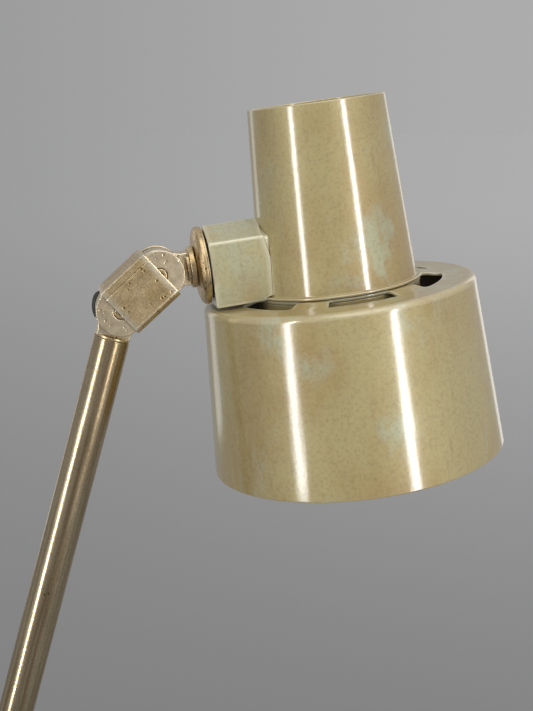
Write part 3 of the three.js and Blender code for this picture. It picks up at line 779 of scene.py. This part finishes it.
def build_bracket():
    low, high = span("bracket", HEAD)
    front, half, floor, ridge = low[0], high[1], low[2], high[2]
    fold = floor + BRACKET_SIDE
    stem_height = sum(value[2] for value in span("stem_disc", HEAD)) / 2
    section = rounded([
        (-half, floor, 0.8), (half, floor, 0.8), (half, fold, 1.3), (0, ridge, 1.6), (-half, fold, 1.3),
    ], step=18)
    section = resampled(section, 168, closed=True)

    def cone_at(y, h):
        radius = SEAM + (LIP_RADIUS if h < LIP_TOP + 0.3 else neck_radius(h))
        return -math.sqrt(max(0.0, radius * radius - y * y))

    def end_at(y, h):
        """Where the cover stops: at the cone, but cut back round its folded corner."""
        near = max(0.0, 1 - math.dist((abs(y), h), (half, fold)) / CORNER_REACH)
        return cone_at(y, h) - CORNER_RELIEF * near * near * (3 - 2 * near)

    shape = Shape()
    spokes = [Vector((y, h - stem_height)).normalized() * SHAFT_HOLE for y, h in section]
    hole_loop = [(v.x, v.y + stem_height) for v in spokes]
    inner = inset(section, BRACKET_WALL)
    wall_back = front + BRACKET_WALL
    rows = [
        [(wall_back, y, h) for y, h in inner],
        [(wall_back, y, h) for y, h in hole_loop],
        [(front, y, h) for y, h in hole_loop],
    ]
    for number in range(4):
        angle = math.pi / 2 * number / 3
        around = inset(section, BRACKET_EDGE * (1 - math.sin(angle)))
        rows.append([(front + BRACKET_EDGE * (1 - math.cos(angle)), y, h) for y, h in around])
    side_start = front + BRACKET_EDGE
    for number in range(1, 11):
        rows.append([
            (side_start + (end_at(y, h) - front - BRACKET_EDGE) * number / 10, y, h) for y, h in section
        ])
    # A shallow bead fills what the rounded corner leaves open
    rows.append([(end_at(y, h) + 0.25, y, h) for y, h in inset(section, 0.25)])
    rows.append([(max(end_at(y, h) + 0.3, cone_at(y, h)), y, h) for y, h in inset(section, 0.7)])
    for number in range(11):
        share = 1 - number / 10
        rows.append([(wall_back + (cone_at(y, h) - wall_back) * share, y, h) for y, h in inner])
    shape.strip([shape.loop(row) for row in rows])
    piece("bracket_cover", shape, HEAD, "bracket", FADED_LACQUER)


def build_collar():
    low, high = span("vent_collar", HEAD)
    profile = ring(high[1] - 0.8, high[1], low[2], high[2], 0.3, 0.3)
    piece("inner_collar", lathe(profile, 120), HEAD, "vent_collar")


def build_head_joint():
    """Black friction washer and nickel disc between the bracket and the stem."""
    low, high = span("friction_washer", STEM)
    washer = lathe(ring(SHAFT_HOLE, high[1], low[0], high[0], 0, 0.1), 96).along_x()
    piece("swivel_washer", washer, STEM, "friction_washer")

    low, high = span("stem_disc", STEM)
    front, back, radius = low[0], high[0], high[1]
    profile = rounded([
        (SHAFT_HOLE, front, 0.1), (9.2, front, 0.3), (13.2, front + 0.1, 2.0), (15.9, front + 1.0, 1.2),
        (radius, front + 2.1, 0.5), (radius, back - 0.9, 0.2), (radius - 0.35, back - 0.75, 0.1),
        (radius - 0.2, back, 0.25), (SHAFT_HOLE, back, 0.1),
    ])
    piece("swivel_disc", lathe(profile, 120).along_x(), STEM, "stem_disc")


GLASS_WALL = 0.9
THREADS = 5
THREAD_PITCH = 2.7


def build_lampholder():
    low, high = span("lampholder", HEAD)
    foot, top, radius = low[2], high[2], high[1]
    profile = rounded([
        (14, foot, 0.6), (radius - 1, foot, 1.2), (radius, foot + 3, 1.5), (radius, foot + 8, 0.4),
        (radius - 0.7, foot + 8.6, 0.3), (radius - 0.7, foot + 9.6, 0.3), (radius, foot + 10.2, 0.4),
        (radius, top - 14, 3), (12, top, 2), (SHAFT_HOLE, top, 0.5), (SHAFT_HOLE, top - 10, 0.5),
        (14, top - 12, 1.5),
    ])
    piece("lamp_holder", lathe(profile, 80), HEAD, "lampholder")

    low, high = span("bulb_glass", HEAD)
    globe = high[1]
    centre = low[2] + globe
    angles = [math.radians(a) for a in range(-88, 33, 4)]
    outer = [(0, low[2]), *[(globe * math.cos(a), centre + globe * math.sin(a)) for a in angles]]
    neck = rounded(
        [(*outer[-1], 0), (20, 12, 12), (12.6, 27, 8), (12.5, high[2], 0)], closed=False, step=8
    )
    line = split([*outer, *neck[1:]], longest=3)
    inner = [
        (max(0.0, r - GLASS_WALL), h + (GLASS_WALL if r < 1e-6 else 0)) for r, h in reversed(line)
    ]
    piece("bulb", lathe([*line, *inner], 80), HEAD, "bulb_glass")

    low, high = span("bulb_cap", HEAD)
    thread = []
    for number in range(THREADS):
        at = low[2] + 2 + number * THREAD_PITCH
        thread += [(12.3, at, 0.4), (13, at + 0.9, 0.5), (12.3, at + 1.8, 0.4)]
    cap = lathe(rounded([
        (0, low[2], 0), (12.3, low[2], 0.3), *thread, (12.3, high[2] - 4.4, 0.6), (6.3, high[2] - 1, 0.6),
        (5.4, high[2] - 0.8, 0.2), (4.4, high[2], 0.4), (0, high[2], 0),
    ], closed=False), 72)
    piece("screw_cap", cap, HEAD, "bulb_cap")


def bore(radius, sides, x=0.0, y=0.0):
    """Outline of a round hole."""
    return list(reversed(circle(radius, sides, x, y)))


def hex_nut(low, high, corner, hole):
    """A nut whose corners are at the radius given."""
    hexagon = [(x, y, 0.4) for x, y in circle(corner, 6)]
    return slab([split(rounded(hexagon), longest=3), bore(hole, 36)], low, high, edge=0.35)


NIPPLE_RADIUS = 5.0
NIPPLE_BORE = 3.4


def build_neck_fixing():
    """Hollow nipple and nut that hold the lampholder, in the recessed top of the neck."""
    low, high = span("holder_nut", HEAD)
    nut = hex_nut(low[2], high[2], high[0], NIPPLE_RADIUS + 0.2)
    piece("nipple_top_nut", nut, HEAD, "holder_nut")
    low, high = span("holder_nipple", HEAD)
    ribs = []
    for number in range(9):
        height = high[2] - 0.8 - number * 0.9
        ribs += [(NIPPLE_RADIUS, height), (NIPPLE_RADIUS - 0.3, height - 0.45)]
    profile = [
        (NIPPLE_BORE, low[2]), (4.8, low[2]), (4.8, ribs[-1][1] - 0.4), *reversed(ribs),
        (4.6, high[2]), (NIPPLE_BORE, high[2]),
    ]
    piece("hollow_nipple", lathe(profile, 48), HEAD, "holder_nipple")


build_neck()
build_drum()
build_bracket()
build_collar()
build_head_joint()
build_lampholder()
build_neck_fixing()

# ---------------------------------------------------------------- links and arms

PLATE_RADIUS = 10.45
RIVET_HOLE = 3.05
PIVOT_SPACING = (pivot("head_upper_pivot") - pivot("head_lower_pivot")).length / MM
TONGUE_RADIUS = 10.2
TONGUE_HALF = 5.0
SHOULDER = 11.9
PIN_RADIUS = 2.2
PIN_HOLE = 2.5
SPACER_RADIUS = 6.4
SLEEVE_WALL = 1.0
SLEEVE_CORNERS = (0.9, 3.2, 2.4)  # front left, front right, back
GROOVE_AT, GROOVE_WIDTH, GROOVE_DEPTH = 3.4, 0.45, 0.22
HALF_TURN = [math.radians(a) for a in range(0, 181, 6)]


def build_link(node, name, place):
    """Two riveted plates with a folded sleeve round them."""
    half = PIVOT_SPACING / 2
    stadium = [(PLATE_RADIUS * math.cos(a), half + PLATE_RADIUS * math.sin(a)) for a in HALF_TURN]
    stadium += [(-x, -y) for x, y in stadium]
    holes = [bore(RIVET_HOLE, 40, 0, centre) for centre in (-half, half)]
    for side, sign in (("front", -1), ("back", 1)):
        low, high = span(f"{node}_{side}_plate", place)
        near, far = sorted((abs(low[1]), abs(high[1])))
        plate = slab([stadium, *holes], near, far, 0.4)
        # The plate's outline is drawn in X and Z and rises away from the link's middle
        plate.mapped(lambda x, y, z: (x, z * sign, y))
        piece(f"{name}_{side}_plate", plate, place, f"{node}_{side}_plate")
    for end, centre in (("lower", -half), ("upper", half)):
        face = span(f"{node}_{end}_rivet", place)[1][1] - 0.35
        head_radius = RIVET_HOLE - 0.28
        outline = rounded([
            (0, face - 0.25, 0), (0.9, face - 0.2, 0.3), (1.5, face, 0.3), (head_radius, face, 0.35),
            (head_radius, face - 1.6, 0.2), (PIN_RADIUS, face - 1.6, 0), (PIN_RADIUS, 0, 0),
        ], closed=False)
        profile = [*outline, *[(r, -h) for r, h in reversed(outline[:-1])]]
        rivet = lathe(profile, 48).along_y().moved(z=centre)
        piece(f"{name}_{end}_rivet", rivet, place, f"{node}_{end}_rivet")
        for side in ("front", "back"):
            spacer = f"{node}_{end}_{side}_spacer"
            low, high = span(spacer, place)
            profile = ring(PIN_HOLE, SPACER_RADIUS, low[1], high[1], 0.1, 0.5)
            washer = lathe(profile, 48).along_y().moved(z=centre)
            piece(f"{name}_{end}_{side}_washer", washer, place, spacer)

    low, high = span(f"{node}_sleeve", place)
    left, right, back = SLEEVE_CORNERS
    groove = low[0] + GROOVE_AT
    # The front face has a fine groove along it
    outer = rounded([
        (low[0], low[1], left), (groove - GROOVE_WIDTH, low[1], 0.12), (groove, low[1] + GROOVE_DEPTH, 0.12),
        (groove + GROOVE_WIDTH, low[1], 0.12), (high[0], low[1], right), (high[0], high[1], back),
        (low[0], high[1], back),
    ], step=12)
    shape = sleeve_wall(outer, inset(outer, SLEEVE_WALL), low[2], high[2], edge=0.3)
    piece(f"{name}_sleeve", shape, place, f"{node}_sleeve")


# X, and height over the lower pivot
LEAD_ROUTE = [(-8.6, 13), (-8.9, 6), (-9, -0.6), (-9.6, -3.4), (-8.2, -6), (-5.6, -8.4), (-2.6, -9.7)]
LEAD_RADIUS = 1.4


def smooth_line(points, per_span=6):
    """A Catmull-Rom curve through points."""
    line = [Vector(p) for p in points]
    line = [line[0] * 2 - line[1], *line, line[-1] * 2 - line[-2]]
    curve = []
    for a, b, c, d in zip(line, line[1:], line[2:], line[3:]):
        for step in range(per_span):
            t = step / per_span
            square = (a * 2 - b * 5 + c * 4 - d) * t ** 2
            cube = (b * 3 - a - c * 3 + d) * t ** 3
            curve.append((b * 2 + (c - a) * t + square + cube) / 2)
    return [*curve, line[-2]]


def build_lead():
    y = sum(value[1] for value in span("head_link_lead", HEAD_LINK)) / 2
    route = smooth_line([(x, y, z - PIVOT_SPACING / 2) for x, z in LEAD_ROUTE])
    lead = tube_along(route, LEAD_RADIUS, 20)
    piece("link_lead", lead, HEAD_LINK, "head_link_lead")


def tongue(end, width):
    """Flat tongue round a pivot at the origin, which runs down to the height given."""
    arc = [math.radians(a) for a in range(-40, 221, 6)]
    edge = [(TONGUE_RADIUS * math.cos(a), TONGUE_RADIUS * math.sin(a)) for a in arc]
    waist = 2 - SHOULDER
    outline = [*edge, (-width, waist), (-width, end), (width, end), (width, waist)]
    flat = slab([outline, bore(PIN_HOLE, 32)], -TONGUE_HALF, TONGUE_HALF, edge=0.5)
    return flat.mapped(lambda x, y, z: (x, z, y))


SPIGOT_RADIUS = 6.3
TUBE_WALL = 1.2


def fitting(tube_start, reach, radius):
    """A tongue that turns on a rivet, with a round body and a spigot that plugs into an arm's tube."""
    body_end = tube_start - 0.1
    round_body = lathe(rounded([
        (0, -reach, 0), (SPIGOT_RADIUS, -reach, 0.5), (SPIGOT_RADIUS, -body_end, 0), (radius, -body_end, 0.2),
        (radius, -SHOULDER, 0.4), (0, -SHOULDER, 0),
    ], closed=False), 72)
    return combined(tongue(-SHOULDER - 0.6, radius - 0.6), round_body)


def build_arm(node, place):
    """A tube with a fitting in each end."""
    low, high = span(f"{node}_tube", place)
    radius = high[0]
    profile = ring(radius - TUBE_WALL, radius, low[2], high[2], 0.2, 0.35)
    shape = lathe(split([*profile, profile[0]], longest=12)[:-1], 72)
    piece(f"{node}_barrel", shape, place, f"{node}_tube", TUBE)

    foot_end = span(f"{node}_foot", place)[1][2]
    foot = fitting(low[2], foot_end, radius).mapped(lambda x, y, z: (x, -y, -z))
    piece(f"{node}_lower_end", foot, place, f"{node}_foot")
    top_low, top_high = span(f"{node}_top", place)
    length = top_high[2] - TONGUE_RADIUS
    top = fitting(length - high[2], length - top_low[2], radius).moved(z=length)
    piece(f"{node}_upper_end", top, place, f"{node}_top")


def build_stem():
    tip = span("stem", STEM)[1][0]
    radius, flange, shaft = 7.5, 8.95, 5
    flange_start = span("stem_disc", STEM)[0][0] - 2.7
    side = rounded([
        (0, SHOULDER, 0), (radius, SHOULDER, 0.5), (radius, flange_start, 0.35), (flange, flange_start, 0.4),
        (flange, flange_start + 2.3, 0.4), (6.6, flange_start + 2.4, 0.1), (shaft, flange_start + 2.6, 0.1),
        (shaft, tip, 0.5), (0, tip, 0),
    ], closed=False)
    round_part = lathe(side, 80).along_x()
    flat = tongue(-SHOULDER - 1, radius - 0.5).mapped(lambda x, y, z: (-z, y, x))
    piece("stem_body", combined(flat, round_part), STEM, "stem")


build_link("head_link", "upper_link", HEAD_LINK)
build_link("elbow", "elbow_joint", ELBOW)
build_lead()
build_stem()
build_arm("upper_arm", UPPER_ARM)
build_arm("lower_arm", LOWER_ARM)

# ---------------------------------------------------------------- post and base

POST_BORE = 6.3
POST_NUT_CORNER = 11.0
EAR_NEAR, EAR_FAR = 5.3, 8.9  # the fork's ears, from the middle
TILT = pivot("lower_arm_tilt").z / MM
FLUTE_SIDES = 12


def fluted(profile, flutes, depth):
    """A knob about Z whose widest part has rounded grooves along it."""
    widest = max(radius for radius, _ in profile)
    shape = Shape()
    rows = []
    for radius, height in profile:
        if radius < 1e-6:
            rows.append(shape.loop([(0, 0, height)]))
            continue
        # The grooves fade out where the knob narrows by 2.2 mm
        share = max(0.0, min(1.0, (radius - widest + 2.2) / 2.0)) ** 0.6
        row = []
        for index in range(flutes * FLUTE_SIDES):
            angle = 2 * math.pi * index / (flutes * FLUTE_SIDES)
            cut = radius - max(0.0, math.cos(angle * flutes)) ** 1.5 * depth * share
            row.append((cut * math.cos(angle), cut * math.sin(angle), height))
        rows.append(shape.loop(row))
    shape.strip(rows, ring=len(rows[0]) > 1 and len(rows[-1]) > 1)
    return shape


def build_post():
    shaft_end = span("swivel_post", BASE)[0][2]
    foot = span("swivel_bush", BASE)[1][2] + 0.3
    floor = TILT - 13.5
    body = lathe(split(rounded([
        (0, shaft_end, 0), (6, shaft_end, 0.6), (6, foot, 0.2), (12, foot, 0.5), (12.5, foot + 3, 0.8),
        (10.2, floor - 4.5, 3), (9.9, floor, 0.5), (0, floor, 0),
    ], closed=False), longest=4), 80)
    outline = [(TONGUE_RADIUS * math.cos(a), TILT + TONGUE_RADIUS * math.sin(a)) for a in HALF_TURN]
    outline += [(-9, floor - 2), (9, floor - 2)]
    ears = []
    for side in (-1, 1):
        ear = slab([outline, bore(PIN_HOLE, 32, 0, TILT)], EAR_NEAR, EAR_FAR, edge=0.5)
        ears.append(ear.mapped(lambda x, y, z: (x * side, z * side, y)))
    piece("post_fork", combined(body, *ears), BASE, "swivel_post")

    low, high = span("tilt_bolt", BASE)
    face, tip = -low[1], -high[1]
    head = lathe(rounded([
        (0, face, 0), (3.4, face - 0.3, 2), (5.6, face - 1.9, 1), (5.6, face - 4, 0.3),
        (PIN_RADIUS, face - 4, 0.2), (PIN_RADIUS, tip + 0.6, 0), (1.7, tip, 0), (0, tip, 0),
    ], closed=False, step=10), 64)
    slot = slab([[(-7, -0.6), (7, -0.6), (7, 0.6), (-7, 0.6)]], face - 1.2, face + 2, 0.05)
    bolt = combined(head, slot, how="DIFFERENCE").mapped(lambda x, y, z: (x, -z, y)).moved(z=TILT)
    piece("tilt_screw", bolt, BASE, "tilt_bolt")

    low, high = span("tilt_knob", BASE)
    near, far, radius = low[1], high[1], high[0]
    knob = fluted(split(rounded([
        (PIN_HOLE, near, 0.2), (5, near, 0.4), (5, near + 2, 0.4), (radius - 0.7, near + 3, 1.2),
        (radius, near + 5, 1.5), (radius, far - 2, 1.4), (radius - 1.2, far, 1.0), (5.2, far, 0.3),
        (4.9, far - 0.5, 0.2), (0, far - 0.5, 0), (0, far - 1.5, 0), (PIN_HOLE, far - 1.5, 0),
    ], step=12), longest=2), flutes=10, depth=1.1)
    piece("tilt_hand_knob", knob.along_y().moved(z=TILT), BASE, "tilt_knob")

    low, high = span("post_nut", BASE)
    piece("shaft_nut", hex_nut(low[2], high[2], POST_NUT_CORNER, POST_BORE), BASE, "post_nut")
    low, high = span("post_washer", BASE)
    washer = lathe(ring(POST_BORE, high[0], low[2], high[2], 0.1, 0.3), 64)
    piece("shaft_washer", washer, BASE, "post_washer")


COVER_CROWN = 4.0
COVER_CORNER = 9.0
COVER_WALL = 1.2
BUSH_HOLE = 9.3
SWITCH_HOLE = 8.3
GLAND_HOLE = 4.3
SCREW_HOLE = 4.6


def build_cover(switch_y, gland_z):
    low, high = span("base_cover", BASE)
    radius, lift, top = high[0], low[2], high[2]

    def cover_line(depth):
        """Side, rounded corner and crowned top of the cover, at a depth under its surface."""
        flat = radius - COVER_CORNER - BUSH_HOLE
        line = []
        for k in range(10, -1, -1):
            r = BUSH_HOLE + flat * k / 10
            fall = COVER_CROWN * ((r - BUSH_HOLE) / (radius - BUSH_HOLE)) ** 1.6
            line.append((r, top - depth - fall))
        edge = line[0][1]
        side = radius - depth
        turn = COVER_CORNER - depth
        arc = [
            (side - turn * (1 - math.cos(math.radians(a))), edge - turn + turn * math.sin(math.radians(a)))
            for a in range(0, 86, 7)
        ]
        return [(side, lift + 0.5), *arc, *line]

    inner = list(reversed(cover_line(COVER_WALL)))
    profile = [(radius - 0.5, lift), *cover_line(0), *inner, (radius - COVER_WALL, lift)]
    cover = lathe(split(profile, longest=7), 180)
    switch_hole = lathe([(0, 15), (SWITCH_HOLE, 15), (SWITCH_HOLE, top + 5), (0, top + 5)], 64)
    gland_hole = lathe([(0, 0), (GLAND_HOLE, 0), (GLAND_HOLE, radius + 5), (0, radius + 5)], 48)
    cover = combined(
        cover, switch_hole.moved(y=switch_y), gland_hole.along_y().moved(z=gland_z), how="DIFFERENCE"
    )
    piece("cover", cover, BASE, "base_cover")


def build_pad():
    """Rubber pad and the three screws through it."""
    low, high = span("base_pad", BASE)
    screws = [span(f"base_screw_{number}", BASE) for number in (1, 2, 3)]
    middles = [((a[0] + b[0]) / 2, (a[1] + b[1]) / 2) for a, b in screws]
    holes = [bore(SCREW_HOLE, 32, x, y) for x, y in middles]
    pad = slab([circle(high[0], 144), *holes], low[2], high[2], edge=0.5)
    piece("pad", pad, BASE, "base_pad")
    for number, ((a, b), (x, y)) in enumerate(zip(screws, middles), 1):
        head = lathe(rounded([
            (0, a[2], 0), (2.6, a[2] + 0.1, 1.5), (4.2, a[2] + 0.9, 0.4), (4.2, a[2] + 1.7, 0.1),
            (2.5, a[2] + 1.8, 0), (2.5, b[2], 0.4), (0, b[2], 0),
        ], closed=False), 48)
        arms = [
            slab([[(-w, -h), (w, -h), (w, h), (-w, h)]], a[2] - 1, a[2] + 0.8, 0.05)
            for w, h in ((2.2, 0.4), (0.4, 2.2))
        ]
        screw = combined(head, *arms, how="DIFFERENCE").moved(x, y)
        piece(f"foot_screw_{number}", screw, BASE, f"base_screw_{number}")


def build_bush():
    low, high = span("swivel_bush", BASE)
    profile = rounded([
        (POST_BORE, low[2], 0.2), (9, low[2], 0.3), (9, high[2] - 2.2, 0.1), (13, high[2] - 2.2, 0.3),
        (13, high[2] - 0.7, 0.6), (11.8, high[2], 0.4), (POST_BORE, high[2], 0.2),
    ])
    piece("post_bush", lathe(profile, 96), BASE, "swivel_bush")


def build_gland(gland_z):
    low, high = span("cable_gland", BASE)
    start, end = low[1], high[1]
    flange = end - 9
    ribs = []
    for number in range(4):
        at = flange + 3.6 + number * 1.2
        size = 5.4 - number * 0.35
        ribs += [(size, at, 0.2), (size, at + 0.6, 0.2)]
        ribs += [(size - 0.9, at + 0.75, 0.1), (size - 0.9, at + 1.1, 0.1)]
    profile = rounded([
        (2.6, start, 0.2), (4, start, 0.3), (4, flange + 0.3, 0.1), (7, flange + 0.3, 0.3),
        (7, flange + 3, 0.7), *ribs, (3.6, end, 0.3), (2.6, end, 0.2),
    ])
    gland = lathe(profile, 64).along_y().moved(z=gland_z)
    piece("gland", gland, BASE, "cable_gland")


def build_switch(switch_y):
    low, high = span("switch_housing", BASE)
    foot, rim_top, rim = low[2], high[2], high[0]
    housing = lathe(rounded([
        (0, foot, 0), (8, foot, 0.6), (8, rim_top - 2.6, 0.1), (rim, rim_top - 2.2, 0.3),
        (rim, rim_top - 0.9, 0.5), (6.4, rim_top, 0.6), (5.5, rim_top - 0.6, 0.3), (5.5, 14, 0.2), (0, 14, 0),
    ], closed=False), 72).moved(y=switch_y)
    piece("switch_body", housing, BASE, "switch_housing")
    low, high = span("switch_button", BASE)
    foot, face = low[2], high[2]
    rings = [
        (r, face - 0.35 - (0.25 if index % 2 else 0), 0.1)
        for index, r in enumerate((3.6, 3.1, 2.6, 2.1, 1.6))
    ]
    button = lathe(rounded([
        (0, foot, 0), (5.1, foot, 0.3), (5.1, face - 1.2, 0.8), (4.1, face - 0.1, 0.4),
        *rings, (0.8, face - 0.3, 0.2), (0, face, 0),
    ], closed=False), 72).moved(y=switch_y)
    piece("push_button", button, BASE, "switch_button")


def build_base():
    switch_y = sum(value[1] for value in span("switch_housing", BASE)) / 2
    gland_z = sum(value[2] for value in span("cable_gland", BASE)) / 2
    build_cover(switch_y, gland_z)
    build_pad()
    build_bush()
    build_gland(gland_z)
    build_switch(switch_y)


build_post()
build_base()

# ---------------------------------------------------------------- carried-over CAD nodes

for name, node in frame["nodes"].items():
    node.data.materials.clear()
    node.data.materials.append(SLOT_LOOKS[SLOT_OF[name]])

# ---------------------------------------------------------------- studio

STRIPS = (  # azimuth as the camera's, distance and width in metres, radiance
    (-57.0, 1.7, 0.17, 11.0),
    (28.5, 1.7, 0.19, 12.0),
    (-150.0, 1.9, 0.4, 0.8),
    (140.0, 1.9, 0.4, 0.8),
)
STRIP_HEIGHT = 1.7
FLOOR_RINGS = (0, 1000, 4000, 16000, 60000)


def area_light(name, spot, target, width, height, radiance):
    """A soft rectangular light that looks as bright as the radiance given, unseen by the camera."""
    data = bpy.data.lights.new(name, "AREA")
    data.shape = "RECTANGLE"
    data.size = width
    data.size_y = height
    data.energy = radiance * width * height * math.pi
    light = bpy.data.objects.new(name, data)
    bpy.context.scene.collection.objects.link(light)
    aim = (target - spot).to_track_quat("-Z", "Y")
    light.matrix_world = Matrix.Translation(spot) @ aim.to_matrix().to_4x4()
    light.visible_camera = False
    return light


def build_world():
    """Grey surroundings, brighter to the right and upwards."""
    world = bpy.data.worlds.new("studio")
    bpy.context.scene.world = world
    world.use_nodes = True
    nodes, links = world.node_tree.nodes, world.node_tree.links
    towards = nodes.new("ShaderNodeTexCoord").outputs["Generated"]
    parts = nodes.new("ShaderNodeSeparateXYZ")
    links.new(towards, parts.inputs[0])

    def graded(value, low, high, start, end):
        step = nodes.new("ShaderNodeMapRange")
        step.interpolation_type = "SMOOTHSTEP"
        for index, number in enumerate((low, high, start, end), 1):
            step.inputs[index].default_value = number
        links.new(value, step.inputs[0])
        return step.outputs[0]

    bright = nodes.new("ShaderNodeMath")
    bright.operation = "ADD"
    links.new(graded(parts.outputs["X"], -0.35, 0.5, 0.3, 0.42), bright.inputs[0])
    links.new(graded(parts.outputs["Z"], 0.12, 0.9, 0.0, 0.25), bright.inputs[1])
    links.new(bright.outputs[0], nodes["Background"].inputs[0])


def build_lights():
    head = HEAD.translation
    lights = []
    for number, (azimuth, distance, width, radiance) in enumerate(STRIPS, 1):
        a = math.radians(azimuth)
        spot = Vector((head.x + math.sin(a) * distance, head.y - math.cos(a) * distance, head.z + 0.15))
        target = Vector((head.x, head.y, spot.z))
        lights.append(area_light(f"strip_{number}", spot, target, width, STRIP_HEIGHT, radiance))
    lights.append(area_light("overhead", Vector((0.3, -0.9, 2.4)), head, 1.8, 1.8, 1.2))
    return lights


def build_floor(lights):
    """A floor that the lights leave out, whose colour is painted darker near the lamp's base and lighter far off
    and to the right, as painted shade and painted light, so that its far end has the surroundings' tone.
    """
    look = Look("floor", Roughness=1.0, Specular_IOR_Level=0.0)
    distance = look.node("ShaderNodeVectorMath", {0: look.place}, operation="LENGTH").outputs["Value"]
    across = look.node("ShaderNodeSeparateXYZ", {0: look.place}).outputs["X"]
    sideways = look.maths("DIVIDE", across, distance)
    # Painted light: the far floor is lighter to the right; painted shade darkens it near the base
    far = look.mix(look.ramp(sideways, -0.35, 0.5), (0.56, 0.56, 0.565, 1), (0.8, 0.8, 0.8, 1))
    shade = look.ramp(look.maths("LOGARITHM", distance, 10.0), -0.3, 1.0)
    look.set("Base Color", look.mix(shade, (0.4, 0.4, 0.4, 1), far))
    floor = lathe([(radius, 0) for radius in FLOOR_RINGS])
    mesh = bpy.data.meshes.new("floor")
    mesh.from_pydata([Vector(p) * MM for p in floor.points], [], floor.faces)
    mesh.materials.append(look.material)
    plane = bpy.data.objects.new("floor", mesh)
    bpy.context.scene.collection.objects.link(plane)
    unlit = bpy.data.collections.new("unlit")
    unlit.objects.link(plane)
    for member in unlit.collection_objects:
        member.light_linking.link_state = "EXCLUDE"
    for light in lights:
        light.light_linking.receiver_collection = unlit


make_camera()
bpy.context.scene.view_settings.view_transform = "Standard"
build_world()
build_floor(build_lights())
